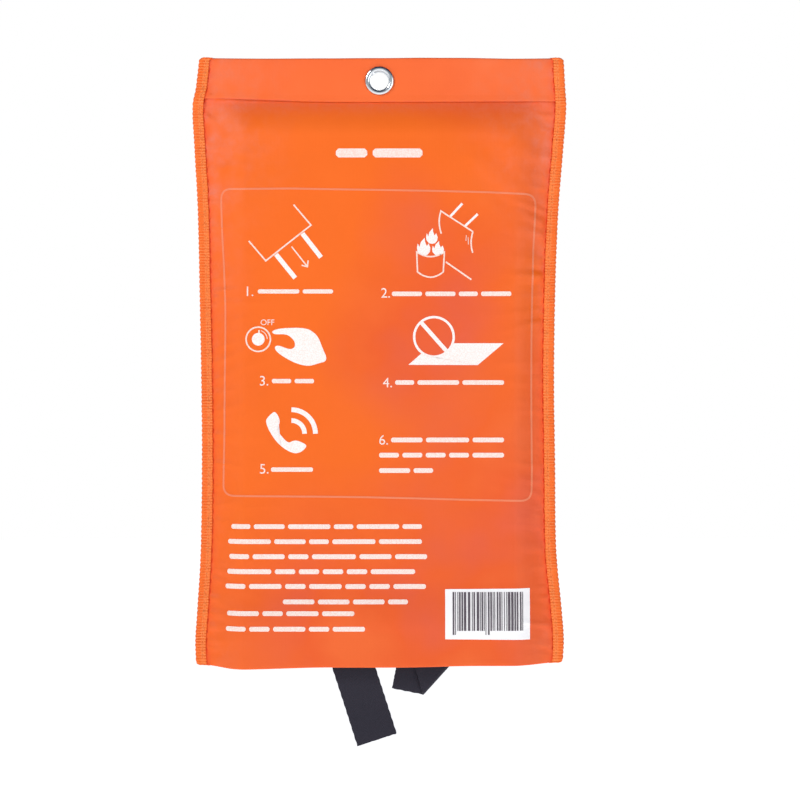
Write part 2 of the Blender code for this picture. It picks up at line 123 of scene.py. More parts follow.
# The studio is seen as plain white, and lights the pouch a little less than it shows, darker towards
# its ceiling.
studio = bpy.data.worlds.new("studio")
studio.use_nodes = True
studio.node_tree.nodes.clear()
sky = studio.node_tree
way = node(sky, "TexCoord")
split = node(sky, "SeparateXYZ", {0: (way, "Generated")})
dome = node(sky, "ValToRGB", {0: (node(sky, "MapRange", {0: (split, "Z"), 1: -1.0, 2: 1.0}), 0)})
dome.color_ramp.elements[0].position = 0.30
dome.color_ramp.elements[0].color = (0.70, 0.70, 0.71, 1.0)
dome.color_ramp.elements[1].position = 0.80
dome.color_ramp.elements[1].color = (0.03, 0.04, 0.09, 1.0)
dome.color_ramp.elements.new(0.60).color = (0.66, 0.72, 0.78, 1.0)
lighting = node(sky, "Background", {0: (dome, 0), 1: 0.66})
seen = node(sky, "Background", {0: (1.0, 1.0, 1.0, 1.0), 1: 1.0})
ray = node(sky, "LightPath")
both = node(sky, "MixShader", {0: (ray, "Is Camera Ray"), 1: (lighting, 0), 2: (seen, 0)})
node(sky, "OutputWorld", {0: (both, 0)})
scene.world = studio

for name, place, size, power in (
    ("key_light", (-0.95, -0.95, 0.75), 0.50, 11.2),
    ("fill_light", (1.05, -1.15, -0.05), 0.90, 5.2),
    ("back_light", (0.35, 1.20, 0.45), 0.90, 8.0),
):
    lamp = bpy.data.objects.new(name, bpy.data.lights.new(name, "AREA"))
    lamp.data.size = size
    lamp.data.energy = power
    lamp.location = place
    aim = Vector((0.0, 0.0, -0.15)) - Vector(place)
    lamp.rotation_euler = aim.to_track_quat("-Z", "Y").to_euler()
    scene.collection.objects.link(lamp)

paper, _ = blank("matt white paper")
glow = {"Emission Color": (1.0, 1.0, 1.0, 1.0), "Emission Strength": 0.95}
surface(paper, {"Base Color": rgb("#f4f4f4"), "Roughness": 0.9, **glow})
bm = bmesh.new()
bmesh.ops.create_circle(bm, cap_ends=True, segments=96, radius=12.0)
bmesh.ops.translate(bm, vec=(0.0, 0.0, -1.10), verts=bm.verts)
floor = piece("floor", bm, paper, smooth=False)

# --- Front panel ----------------------------------------------------------------------
# The printed side of the pouch: one panel of polyester oxford with a thin smooth coating, cut a
# little full and bound at the sides, so it lies flat over the pack and puckers next to the bindings.
# Its lower edge is turned in and its upper edge ends inside the header.

CLOTH = 0.00045  # thickness of the coated fabric
PLY = 0.00080  # from one ply's middle to the next one's
BINDING = 0.0055  # width of the binding tape
HEM = 0.0200
CUT_EDGE = 0.0015  # from the pouch's outer edge to the panels' cut edges
FLAP_END = -0.0100  # the header's lower edge
CORNER = 0.0018  # rounding of the pouch's four corners
HEM_RISE = 0.0240  # length over which the panels step out to take the hems
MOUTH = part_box("rear_panel")[0].z
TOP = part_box("rear_panel")[1].z
pack_low, pack_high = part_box("blanket_cloth")
PACK_GAP = (pack_high.y - pack_low.y) / 2 + 0.00055
MOUTH_GAP = -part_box("front_panel")[0].y - CLOTH / 2
FLAT_HALF = pack_high.x - pack_high.y + 0.0005  # the panels lie flat over the pack up to here

# (height, left edge, right edge): the sides are drawn in at the waist, the right one more than the left
SIDES = [
    (0.0115, -0.0901, 0.0920),
    (-0.0040, -0.0919, 0.0929),
    (-0.0130, -0.0935, 0.0934),
    (-0.0340, -0.0925, 0.0919),
    (-0.0640, -0.0909, 0.0895),
    (-0.1040, -0.0900, 0.0879),
    (-0.1500, -0.0891, 0.0873),
    (-0.1900, -0.0888, 0.0878),
    (-0.2340, -0.0894, 0.0884),
    (-0.2640, -0.0911, 0.0911),
    (-0.2800, -0.0921, 0.0922),
    (-0.2925, -0.0918, 0.0917),
]


def ease(t):
    """0 below 0, 1 above 1, and a smooth rise between."""
    t = min(1.0, max(0.0, t))
    return t * t * (3.0 - 2.0 * t)


def side_x(side, z):
    """Where the pouch's left (-1) or right (1) edge is at a height, on a smooth curve through SIDES."""
    column = 1 if side < 0 else 2
    z = min(SIDES[0][0], max(SIDES[-1][0], z))
    i = next(k for k in range(len(SIDES) - 1) if z >= SIDES[k + 1][0])
    before, after = max(i - 1, 0), min(i + 2, len(SIDES) - 1)
    z0, z1 = SIDES[i][0], SIDES[i + 1][0]
    slope0 = (SIDES[i + 1][column] - SIDES[before][column]) / (z1 - SIDES[before][0])
    slope1 = (SIDES[after][column] - SIDES[i][column]) / (SIDES[after][0] - z0)
    t = (z - z0) / (z1 - z0)
    span = z1 - z0
    start = (1 + 2 * t) * (1 - t) ** 2 * SIDES[i][column] + t * (1 - t) ** 2 * span * slope0
    return start + t * t * (3 - 2 * t) * SIDES[i + 1][column] + t * t * (t - 1) * span * slope1


def inside_binding(x, z):
    """How far a point lies in from the binding's inner edge."""
    return abs(side_x(-1 if x < 0 else 1, z)) - BINDING - abs(x)


def wander(a, b, grain, seed):
    """Smooth noise between about -1 and 1 that changes over a length of grain."""
    return noise.noise(Vector((a / grain, seed * 7.31, b / grain)))


def seam_gap(z):
    """The outer ply's middle from the mid plane at the sewn sides: a ply further out at the hem."""
    return PLY / 2 + PLY * ease((MOUTH + HEM + HEM_RISE - z) / HEM_RISE)


def swell(x, z):
    """How far the pack holds a panel out from its sewn sides."""
    seam = inside_binding(x, z) + abs(x) - 0.0004
    across = 1.0 - ease((abs(x) - FLAT_HALF) / (seam - FLAT_HALF))
    down = math.sin(math.pi / 2 * min(1.0, max(0.0, (FLAP_END - 0.0003 - z) / 0.0175)))
    full = PACK_GAP + (MOUTH_GAP - PACK_GAP) * ease((MOUTH + HEM + HEM_RISE - z) / HEM_RISE)
    return (full - seam_gap(z)) * across * down


def together(x, z):
    """Movement that all plies share: the sewn sides ripple, and the header isn't quite flat."""
    side = -1 if x < 0 else 1
    inside = max(0.0, inside_binding(x, z))
    ripple = 0.00055 * wander(side, z, 0.017, 11.0) + 0.00045 * wander(side, z, 0.0048, 12.0)
    header = ease((z + 0.026) / 0.02) * ease((math.hypot(x, z) - 0.009) / 0.020)
    return ripple * math.exp(-inside / 0.009) + 0.00060 * header * wander(x, z * 0.5, 0.034, 13.0)


def puckers(x, z, seed):
    """Short folds that run in from the bindings, where the stitching draws the fabric up."""
    side = -1 if x < 0 else 1
    inside = inside_binding(x, z)
    reach = math.exp(-max(0.0, inside) / 0.0085) * ease(inside / 0.0030)
    slant = z + 0.5 * inside * wander(side, z, 0.040, seed)
    ridges = noise.noise(Vector((side * 3.0 + x / 0.030, seed, slant / 0.0050)))
    ridges += 0.5 * noise.noise(Vector((side * 5.0 + x / 0.014, seed, slant / 0.0024)))
    busy = 0.7 + 0.9 * max(0.0, wander(side, z, 0.028, seed + 3))
    return 0.00300 * max(-0.1, ridges) * reach * busy


def billow(x, z, seed):
    """Broad shallow hollows and swellings, and drawn lines in the corners below the header."""
    free = ease((FLAP_END - 0.002 - z) / 0.030) * ease(inside_binding(x, z) / 0.012)
    broad = 0.00075 + 0.00100 * wander(x, z, 0.052, seed) + 0.00040 * wander(x, z, 0.021, seed + 1)
    along, across = abs(x) * 0.75 - z * 0.66, abs(x) * 0.66 + z * 0.75
    corner = ease((abs(x) - 0.030) / 0.04) * ease((z + 0.085) / 0.055)
    drawn = 0.00120 * wander(along * 0.22, across, 0.0095, seed + 2 + (x > 0))
    return (broad + drawn * corner) * free


def front_y(x, z):
    """The middle of the front panel's outer ply."""
    return together(x, z) - seam_gap(z) - swell(x, z) - puckers(x, z, 1.0) - billow(x, z, 4.0)


def end_drift(x, z):
    """How far the top and mouth edges stray from straight, fading out away from them."""
    at_top = ease((z + 0.010) / 0.020) * ease((math.hypot(x, z) - 0.008) / 0.020)
    top = 0.00030 * math.sin(x / 0.021 + 1.0) + 0.0003 * wander(x, 0.0, 0.03, 2.0)
    at_mouth = ease((MOUTH + 0.030 - z) / 0.030)
    mouth = 0.0008 * ease(x / 0.05) - 0.0010 * ease((-x - 0.025) / 0.045)
    mouth += 0.0020 * ease((-x - 0.072) / 0.018) + 0.0014 * ease((x - 0.074) / 0.016)
    return at_top * top + at_mouth * mouth


def corner_cut(z):
    """How far the pouch's rounded corners take its side in at a height."""
    depth = CORNER - max(0.0, min(TOP - z, z - MOUTH, CORNER))
    return CORNER - math.sqrt(max(0.0, CORNER**2 - depth**2))


def panel_x(share, z):
    """Across a panel: share is -1 at its left cut edge and 1 at its right one, and points gather near
    both.
    """
    share = math.sin(share * 1.25) / math.sin(1.25)
    left = side_x(-1, z) + CUT_EDGE + corner_cut(z)
    right = side_x(1, z) - CUT_EDGE - corner_cut(z)
    return (left + right) / 2 + share * (right - left) / 2


def down_panel(distance, start):
    """(height, distance in from the outer ply) along a panel, from a start height down, round the
    mouth and up.
    """
    turn = PLY / 2
    straight = start - (MOUTH + CLOTH / 2 + turn)
    if distance <= straight:
        return start - distance, 0.0
    angle = min(math.pi, (distance - straight) / turn)
    z = start - straight - turn * math.sin(angle) + max(0.0, distance - straight - math.pi * turn)
    return z, turn * (1.0 - math.cos(angle))


def panel_rows(start, count):
    """Distances of a panel's rows: even down the body, close together round the mouth, even again up
    the hem.
    """
    bend = start - MOUTH - CLOTH / 2 - PLY / 2
    arc = math.pi * PLY / 2
    rows = [bend * k / count for k in range(count)]
    rows += [bend + arc * k / 8 for k in range(8)]
    return rows + [bend + arc + (HEM - 0.001) * k / 12 for k in range(13)]


def sheet_grid(columns, rows, place, cloth=None):
    """A flat grid of quads whose corners place(share across, row number) puts where they lie.

    cloth(share, row) gives the same corner's place on the flat cloth, for a weave that follows it.
    """
    bm = bmesh.new()
    bmesh.ops.create_grid(bm, x_segments=columns, y_segments=rows, size=1.0)
    if cloth:
        flat = bm.loops.layers.uv.new("cloth")
        for face in bm.faces:
            for loop in face.loops:
                share, row = loop.vert.co.x, round((1.0 - loop.vert.co.y) / 2 * rows)
                loop[flat].uv = cloth(share, row)
    for vert in bm.verts:
        vert.co = place(vert.co.x, round((1.0 - vert.co.y) / 2 * rows))
    return bm


def header_edge(x):
    """The height of the header's lower edge, which sinks a little towards the eyelet."""
    drift = 0.0011 * ease((-x - 0.020) / 0.07) - 0.0006 * ease((x + 0.09) / 0.07)
    return FLAP_END + drift + 0.0003 * ease(x / 0.09)


def mark_painted_shade_and_sheen(bm):
    """Marks where shade and sheen are painted into the colour: painted shade along the bindings, a painted
    shadow under the header, and painted sheen by the bindings and in the upper corners.
    """
    painted_shade = bm.verts.layers.float.new("seam")
    chalk = bm.verts.layers.float.new("chalk")
    for vert in bm.verts:
        x, _, z = vert.co
        # painted shade, in dashes, in the crease along each binding's inner edge
        dash = 0.55 + 0.45 * wander(1.0 if x > 0 else -1.0, z, 0.0024, 21.0)
        side = math.exp(-max(0.0, inside_binding(x, z)) / 0.0014) * dash
        # a painted shadow under the header's lower edge, on the front face only
        under = header_edge(x) - z
        shadow = math.exp(-((under / 0.0055) ** 2)) if under > 0 and vert.co.y < 0 else 0.0
        vert[painted_shade] = min(1.0, side + 0.22 * shadow)
        # painted sheen: pale blotches by the bindings and in the upper corners, stronger higher up and by the
        # mouth, with the painted shadow under the header added
        blotch = 0.55 + 0.55 * wander(x, z * 0.8, 0.0042, 22.0) + 0.5 * wander(x, z, 0.013, 23.0)
        corner = ease((abs(x) - 0.030) / 0.05) * ease((z + 0.080) / 0.060)
        sheen_strength = 0.30 + 0.70 * ease((z + 0.15) / 0.08) + 0.35 * ease((MOUTH + 0.03 - z) / 0.02)
        sheen_by_bindings = 0.75 * sheen_strength * math.exp(-max(0.0, inside_binding(x, z)) / 0.0095) + 0.45 * corner
        vert[chalk] = max(0.0, min(1.0, sheen_by_bindings * blotch + 0.50 * shadow))


def eyelet_hole(bm):
    """Takes out the fabric inside the eyelet's barrel; the flange hides the edge."""
    inside = [f for f in bm.faces if math.hypot(f.calc_center_median().x, f.calc_center_median().z) < 0.0058]
    bmesh.ops.delete(bm, geom=inside, context="FACES")


def solid(made, thickness):
    """Gives a sheet its thickness, half to each side."""
    wall = made.modifiers.new("Cloth thickness", "SOLIDIFY")
    wall.thickness = thickness
    wall.offset = 0.0
    return made


def coated_fabric(name, tones, thread_pitch):
    """PVC-coated polyester oxford: a smooth satin skin over a fine basket weave that only just shows through.

    The coating takes broad changes of tone where the fabric was handled. Its colour is deepened by painted
    shade along the bindings and by a painted shadow under the header, and paled by painted sheen by the
    bindings and in the upper corners.
    """
    made, tree = blank(name)
    where = node(tree, "TexCoord")
    cloud = node(
        tree, "TexNoise", {"Vector": (where, "Object"), "Scale": 15.0, "Detail": 3.0, "Roughness": 0.55}
    )
    tone = node(tree, "ValToRGB", {0: (cloud, 0)})
    tone.color_ramp.elements[0].position = 0.34
    tone.color_ramp.elements[0].color = rgb(tones[0])
    tone.color_ramp.elements[1].position = 0.66
    tone.color_ramp.elements[1].color = rgb(tones[2])
    tone.color_ramp.elements.new(0.50).color = rgb(tones[1])
    drift = node(tree, "TexNoise", {"Vector": (where, "Object"), "Scale": 9.0, "Detail": 1.0})
    warm = node(tree, "MapRange", {0: (drift, 0), 1: 0.40, 2: 0.60, 3: 0.0, 4: 0.85})
    mixed = node(tree, "Mix", {0: (warm, 0), 6: (tone, 0), 7: rgb(tones[3])}, data_type="RGBA")
    # the next two attributes carry painted light: painted shade along the bindings with a painted shadow
    # under the header, then painted sheen by the bindings and in the upper corners with more painted shadow
    # under the header
    seam = node(tree, "Attribute", attribute_name="seam")
    chalk = node(tree, "Attribute", attribute_name="chalk")
    # the painted sheen is broken into streaks 3 mm or so apart
    crease = node(
        tree, "TexNoise", {"Vector": (where, "Object"), "Scale": 330.0, "Detail": 2.0, "Distortion": 0.6}
    )
    broken = node(tree, "MapRange", {0: (crease, 0), 1: 0.34, 2: 0.66, 3: 0.65, 4: 1.25})
    painted_sheen_streaks = node(tree, "Math", {0: (chalk, "Fac"), 1: (broken, 0)}, operation="MULTIPLY", use_clamp=True)
    # mixes towards a pale pink for the painted sheen and the painted shadow under the header
    paled = node(tree, "Mix", {0: (painted_sheen_streaks, 0), 6: (mixed, 2), 7: rgb("#ee7652")}, data_type="RGBA")
    # deep red painted shade along the bindings and under the header
    shade = node(tree, "Mix", {0: (seam, "Fac"), 6: (paled, 2), 7: rgb("#f0400e")}, data_type="RGBA")
    # threads are 0.35 mm apart; the weave is drawn twice as coarse so that it shows
    threads = {"Vector": (where, "Object"), "Scale": math.tau / thread_pitch / 20}
    across = node(tree, "TexWave", threads, bands_direction="X")
    down = node(tree, "TexWave", threads, bands_direction="Z")
    basket = node(tree, "Math", {0: (across, 1), 1: (down, 1)}, operation="MULTIPLY")
    fine = node(tree, "TexNoise", {"Vector": (where, "Object"), "Scale": 700.0, "Detail": 2.0})
    weave = node(tree, "Bump", {"Height": (basket, 0), "Strength": 0.16, "Distance": 0.0002})
    grain = node(
        tree, "Bump", {"Height": (fine, 0), "Normal": (weave, 0), "Strength": 0.14, "Distance": 0.0002}
    )
    gloss = node(tree, "MapRange", {0: (cloud, 0), 3: 0.42, 4: 0.58})
    return surface(made, {
        "Base Color": (shade, 2), "Roughness": (gloss, 0), "Normal": (grain, 0), "IOR": 1.46,
        "Specular IOR Level": 0.30,
    })


THREAD_PITCH = 0.0007
printed_fabric = coated_fabric(
    "coated oxford, printed", ("#e85e3a", "#ee5e24", "#f2682c", "#f86c12"), THREAD_PITCH
)

FRONT_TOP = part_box("front_panel")[1].z
front_rows = panel_rows(FRONT_TOP, 256)


FRONT_LIP = 0.0006  # the front's hem is turned up this much further than the back's


def front_place(share, row):
    z, inward = down_panel(front_rows[row], FRONT_TOP)
    x = panel_x(share, z)
    lip = FRONT_LIP * ease((MOUTH + 0.05 - z) / 0.05) * ease(inside_binding(x, z) / 0.012)
    return x, front_y(x, z) + inward, z + end_drift(x, z) + lip


bm = sheet_grid(150, len(front_rows) - 1, front_place)
mark_painted_shade_and_sheen(bm)
eyelet_hole(bm)
front_panel = solid(piece("front_panel_fabric", bm, printed_fabric), CLOTH)
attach(front_panel, "pouch")
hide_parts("front_panel")

# --- Back panel and header ------------------------------------------------------------
# The wall side, of the same coated fabric but unprinted. It is cut longer than the front: it runs
# over the top edge and comes down the front as the header, which takes the eyelet through both plies.

FLAP_GAP = PLY * 1.5  # the header's middle from the mid plane
# lighter tones than the printed panel's, which partly paint in the brighter light on the flat header that
# faces the front squarely
plain_fabric_painted_brighter = coated_fabric(
    "coated oxford, plain", ("#f46630", "#f86c34", "#fa7440", "#f96c2c"), THREAD_PITCH
)

turn_radius = (FLAP_GAP + PLY / 2) / 2
turn_z = TOP - CLOTH / 2 - turn_radius
flap_length = turn_z - FLAP_END
header_rows = [(flap_length * k / 24, "flap") for k in range(24)]
header_rows += [(math.pi * k / 10, "turn") for k in range(10)]
rear_rows = header_rows + [(d, "down") for d in panel_rows(turn_z, 250)]


def rear_place(share, row):
    value, part = rear_rows[row]
    if part == "flap":
        rise = value / flap_length
        x = panel_x(share, FLAP_END + value)
        z = header_edge(x) + (turn_z - header_edge(x)) * rise
        lift = 0.00028 * ease((0.0035 - value) / 0.0035) * ease(inside_binding(x, z) / 0.004)
        return x, together(x, z) - FLAP_GAP - lift, z + end_drift(x, z)
    if part == "turn":
        z = turn_z + turn_radius * math.sin(value)
        x = panel_x(share, z)
        return x, together(x, z) - FLAP_GAP + turn_radius * (1.0 - math.cos(value)), z + end_drift(x, z)
    z, inward = down_panel(value, turn_z)
    x = panel_x(share, z)
    out = seam_gap(z) + swell(x, z) + puckers(x, z, 31.0) + billow(x, z, 34.0)
    return x, together(x, z) + out - inward, z + end_drift(x, z)


bm = sheet_grid(130, len(rear_rows) - 1, rear_place)
mark_painted_shade_and_sheen(bm)
eyelet_hole(bm)
rear_panel = solid(piece("rear_panel_and_header_fabric", bm, plain_fabric_painted_brighter), CLOTH)
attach(rear_panel, "pouch")
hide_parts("rear_panel")

# --- Side bindings --------------------------------------------------------------------
# A ribbed polyester tape folded round both panels' cut edges and sewn through them. Its cords wrap
# the edge, so the outline is finely scalloped, and the chain of stitches lies in a shallow dent along
# its middle.

RIB = 0.0014  # from one wrapped cord to the next
SCALLOP = 0.0024
CHAIN_IN = 0.0038  # from the outer edge to the middle of the stitched chain


def header_ply(z):
    """1 where the binding takes the header's ply as well, and 0 below it."""
    return ease((z - FLAP_END + 0.0035) / 0.0025)


def binding_face(side, depth, z, face):
    """The binding's middle surface at a depth in from the outer edge: face is -1 in front and 1 behind."""
    edge = side_x(side, z) - side * corner_cut(z)
    x = edge - side * depth
    room = seam_gap(z) + CLOTH + 0.00025 + (PLY * header_ply(z) if face < 0 else 0.0)
    room -= 0.00019 * ease((depth - 0.0042) / 0.0012)
    cord = 0.00014 * math.sin(math.tau * (z + 0.0003 * wander(side, z, 0.01, 41.0)) / RIB)
    cord *= ease((0.0050 - depth) / 0.0016)
    dent = 0.00012 * math.exp(-(((depth - CHAIN_IN) / 0.0009) ** 2))
    full = 0.00022 * math.sin(math.pi * min(1.0, depth / 0.0032))
    return x, together(x, z) + face * (room + full + cord - dent), z + end_drift(x, z)


def ribbed_tape(name):
    """Polyester binding: matt, with wrapped cords across it whose painted shade and highlight vary unevenly
    along the tape.
    """
    made, tree = blank(name)
    where = node(tree, "TexCoord")
    cloud = node(tree, "TexNoise", {"Vector": (where, "Object"), "Scale": 60.0, "Detail": 4.0})
    tone = node(tree, "Mix", {0: (cloud, 0), 6: rgb("#f76a22"), 7: rgb("#fd7c34")}, data_type="RGBA")
    stripe = node(tree, "Attribute", attribute_name="stripe")
    sewn = node(tree, "Mix", {0: (stripe, "Fac"), 6: (tone, 2), 7: rgb("#ff9450")}, data_type="RGBA")
    # the cords are 1.4 mm apart; every few millimetres some of them stand out, with painted shade between
    # them and a painted highlight on top
    cord = node(
        tree, "TexWave", {"Vector": (where, "Object"), "Scale": math.tau / RIB / 20}, bands_direction="Z"
    )
    cord.inputs["Distortion"].default_value = 0.7
    cord.inputs["Detail"].default_value = 1.0
    patch = node(tree, "TexNoise", {"Vector": (where, "Object"), "Scale": 190.0, "Detail": 2.0})
    painted_groove_shade = node(tree, "MapRange", {0: (cord, 1), 1: 0.0, 2: 0.55, 3: 0.75, 4: 0.0})
    painted_crest_highlight = node(tree, "MapRange", {0: (cord, 1), 1: 0.80, 2: 1.0, 3: 0.0, 4: 0.40})
    uneven = node(tree, "MapRange", {0: (patch, 0), 1: 0.38, 2: 0.62, 3: 0.25, 4: 1.0})
    deep = node(tree, "Math", {0: (painted_groove_shade, 0), 1: (uneven, 0)}, operation="MULTIPLY")
    high = node(tree, "Math", {0: (painted_crest_highlight, 0), 1: (uneven, 0)}, operation="MULTIPLY")
    # painted shade in the grooves between the cords, then a painted highlight on their crests
    groove_shaded = node(tree, "Mix", {0: (deep, 0), 6: (sewn, 2), 7: rgb("#dc5210")}, data_type="RGBA")
    shade = node(tree, "Mix", {0: (high, 0), 6: (groove_shaded, 2), 7: rgb("#ffb07a")}, data_type="RGBA")
    relief = node(tree, "Bump", {"Height": (cord, 1), "Strength": 0.35, "Distance": 0.0002})
    return surface(made, {
        "Base Color": (shade, 2), "Normal": (relief, 0), "Roughness": 0.72,
        "Specular IOR Level": 0.2, "Sheen Weight": 0.04,
    })


binding_tape = ribbed_tape("ribbed polyester binding")
BINDING_ROWS = 980
for hand, side in (("left", -1), ("right", 1)):

    def binding_place(share, row):
        z = TOP + (MOUTH - TOP) * row / BINDING_ROWS
        bend = 0.0010
        inner = BINDING + 0.00025 * wander(side, z, 0.0035, 43.0)
        if abs(share) > 0.3:
            depth = bend + (inner - bend) * (abs(share) - 0.3) / 0.7
            return binding_face(side, depth, z, math.copysign(1.0, share))
        x, front, high = binding_face(side, bend, z, -1)
        rear = binding_face(side, bend, z, 1)[1]
        angle = share / 0.3 * math.pi / 2
        out = bend * math.cos(angle) + 0.00015 * math.sin(math.tau * z / SCALLOP) * math.cos(angle)
        return x + side * (out - CLOTH / 2), (front + rear) / 2 + (rear - front) / 2 * math.sin(angle), high

    bm = sheet_grid(26, BINDING_ROWS, binding_place)
    stripe = bm.verts.layers.float.new("stripe")
    for vert in bm.verts:
        depth = side * (side_x(side, vert.co.z) - vert.co.x)
        vert[stripe] = 0.50 * ease((depth - 0.0024) / 0.0006) * ease((0.0054 - depth) / 0.0005)
    if side < 0:
        bmesh.ops.reverse_faces(bm, faces=bm.faces)
    binding = solid(piece(f"{hand}_binding_tape", bm, binding_tape), CLOTH * 0.8)
    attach(binding, "pouch")
    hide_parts(f"{hand}_binding")

# --- Binding stitches -----------------------------------------------------------------
# The chain that holds each binding, in a lighter orange polyester thread, on both faces; and the deep
# red thread of the gathering row just inside the binding, of which a stitch shows every 5 mm.

CHAIN_PITCH = 0.0021
CHAIN_OPEN, CHAIN_SHUT = 0.00055, 0.00018  # half the chain's width at a link's two ends
THREAD = 0.00026  # radius of the chain's thread
GATHER_PITCH = 0.0050
GATHER_LENGTH = 0.0026
GATHER_THREAD = 0.00022
SEWING_THREAD = 0.00020  # radius of the blanket's threads


def stitch(bm, start, end, radius):
    """One sewn stitch: a plump little capsule of thread between two needle holes."""
    start, end = Vector(start), Vector(end)
    along = end - start
    turn = along.to_track_quat("Z", "Y").to_matrix().to_4x4()
    size = Matrix.Diagonal((radius, radius, along.length / 2 + radius * 0.6, 1.0))
    bmesh.ops.create_icosphere(
        bm, subdivisions=1, radius=1.0, matrix=Matrix.Translation((start + end) / 2) @ turn @ size
    )


def spun_thread(name, light, deep):
    """Polyester sewing thread, with painted shade between its twisted plies."""
    made, tree = blank(name)
    where = node(tree, "TexCoord")
    # the twist repeats every 0.5 mm or so
    twist = node(tree, "TexNoise", {"Vector": (where, "Object"), "Scale": 2000.0, "Detail": 2.0})
    # painted shade between the plies: the darker tone is mixed in by the twist noise
    tone = node(tree, "Mix", {0: (twist, 0), 6: rgb(deep), 7: rgb(light)}, data_type="RGBA")
    relief = node(tree, "Bump", {"Height": (twist, 0), "Strength": 0.4, "Distance": 0.0001})
    return surface(made, {
        "Base Color": (tone, 2), "Normal": (relief, 0), "Roughness": 0.5,
        "Specular IOR Level": 0.3,
    })


chain_thread = spun_thread("light orange polyester thread", "#ff9c56", "#fb8640")
gather_thread = spun_thread("deep red polyester thread", "#f0440e", "#d83408")
for hand, side in (("left", -1), ("right", 1)):
    gathers = bmesh.new()
    for face, name in ((-1, "front"), (1, "rear")):
        bm = bmesh.new()
        z = TOP - 0.0026
        while z > MOUTH + 0.0030:
            for lean in (-1, 1):
                low = binding_face(side, CHAIN_IN + lean * CHAIN_OPEN, z, face)
                high = binding_face(side, CHAIN_IN + lean * CHAIN_SHUT, z + CHAIN_PITCH * 0.9, face)
                lift = Vector((0.0, face * (CLOTH * 0.4 + THREAD * 0.15), 0.0))
                stitch(bm, Vector(low) + lift, Vector(high) + lift, THREAD)
            z -= CHAIN_PITCH
        row = piece(f"{hand}_{name}_chain_stitches", bm, chain_thread)
        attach(row, "pouch")
        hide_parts(f"{hand}_{name}_seam")
        z = TOP - 0.0050
        while z > MOUTH + 0.0060:
            ends = []
            for place in (z, z - GATHER_LENGTH):
                x = side_x(side, place) - side * (BINDING + 0.00042)
                if face < 0:
                    y = front_y(x, place) if place < FLAP_END else together(x, place) - FLAP_GAP
                else:
                    y = together(x, place) + seam_gap(place) + swell(x, place)
                ends.append(Vector((x, y + face * CLOTH * 0.6, place + end_drift(x, place))))
            stitch(gathers, ends[0], ends[1], GATHER_THREAD)
            z -= GATHER_PITCH
    made = piece(f"{hand}_gathering_stitches", gathers, gather_thread)
    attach(made, "pouch")

# --- Eyelet ---------------------------------------------------------------------------
# A nickel-plated steel eyelet pressed through the header from the front: a round polished flange and
# barrel, rolled over a flat washer at the back.

flange_low, flange_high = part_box("eyelet_flange")
washer_low, washer_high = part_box("eyelet_washer")
FLANGE_RADIUS = flange_high.x
HOLE_RADIUS = 0.00465


def plated_steel(name):
    """Polished nickel plating: a cool bright mirror, with the faint drag of handling on it."""
    made, tree = blank(name)
    where = node(tree, "TexCoord")
    rub = node(tree, "TexNoise", {"Vector": (where, "Object"), "Scale": 300.0, "Detail": 5.0})
    gloss = node(tree, "MapRange", {0: (rub, 0), 3: 0.10, 4: 0.26})
    relief = node(tree, "Bump", {"Height": (rub, 0), "Strength": 0.05, "Distance": 0.0002})
    return surface(made, {
        "Roughness": (gloss, 0), "Normal": (relief, 0), "Base Color": rgb("#d9dde0"),
        "Metallic": 1.0,
    })


def turned_ring(outline, steps=96):
    """A ring turned about the Y axis from a closed outline of (radius, y) points."""
    bm = bmesh.new()
    points = [bm.verts.new((radius, y, 0.0)) for radius, y in outline]
    face = bm.faces.new(points)
    edges = list(face.edges)
    bmesh.ops.delete(bm, geom=[face], context="FACES_ONLY")
    bmesh.ops.spin(
        bm,
        geom=edges + points,
        cent=(0.0, 0.0, 0.0),
        axis=(0.0, 1.0, 0.0),
        angle=math.tau,
        steps=steps,
        use_merge=True,
    )
    bmesh.ops.remove_doubles(bm, verts=bm.verts, dist=1e-7)
    bmesh.ops.recalc_face_normals(bm, faces=bm.faces)
    return bm


steel = plated_steel("nickel-plated steel")
front_face, barrel_end = flange_low.y, flange_high.y
seat = -(FLAP_GAP + CLOTH / 2 + 0.00004)
crown = (FLANGE_RADIUS - HOLE_RADIUS) / 2
outline = []
for k in range(15):
    angle = math.pi * (1.0 - k / 14)
    radius = HOLE_RADIUS + crown - crown * math.cos(angle)
    outline.append((radius, seat + (front_face - seat) * math.sin(angle) ** 0.8))
outline.reverse()
outline += [(HOLE_RADIUS, seat + 0.0006), (HOLE_RADIUS, barrel_end - 0.0007)]
for k in range(1, 8):
    angle = math.pi * k / 8
    radius = HOLE_RADIUS + 0.00075 * (1 - math.cos(angle))
    outline.append((radius, barrel_end - 0.0007 + 0.0007 * math.sin(angle)))
outline += [(HOLE_RADIUS + 0.0015, washer_high.y), (HOLE_RADIUS + 0.0004, washer_high.y)]
outline += [(HOLE_RADIUS + 0.0004, seat)]
eyelet = piece("eyelet_flange_and_barrel", turned_ring(outline), steel)
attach(eyelet, "pouch")
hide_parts("eyelet_flange")

inner, outer, back, face = HOLE_RADIUS + 0.0005, washer_high.x, washer_low.y, washer_high.y
outline = [(inner, back), (outer, back), (outer, face - 0.00015), (outer - 0.00012, face), (inner, face)]
washer = piece("eyelet_back_washer", turned_ring(outline), steel)
crease = washer.modifiers.new("Turned edges", "BEVEL")
crease.width = 0.00006
crease.segments = 2
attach(washer, "pouch")
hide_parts("eyelet_washer")

# --- Printing -------------------------------------------------------------------------
# One colour of white ink screen-printed on the coating: a rounded frame round six numbered steps, the
# first five with their pictograms, plain bars where each line of wording would stand, and a stuck label
# with a plain pattern of bars.

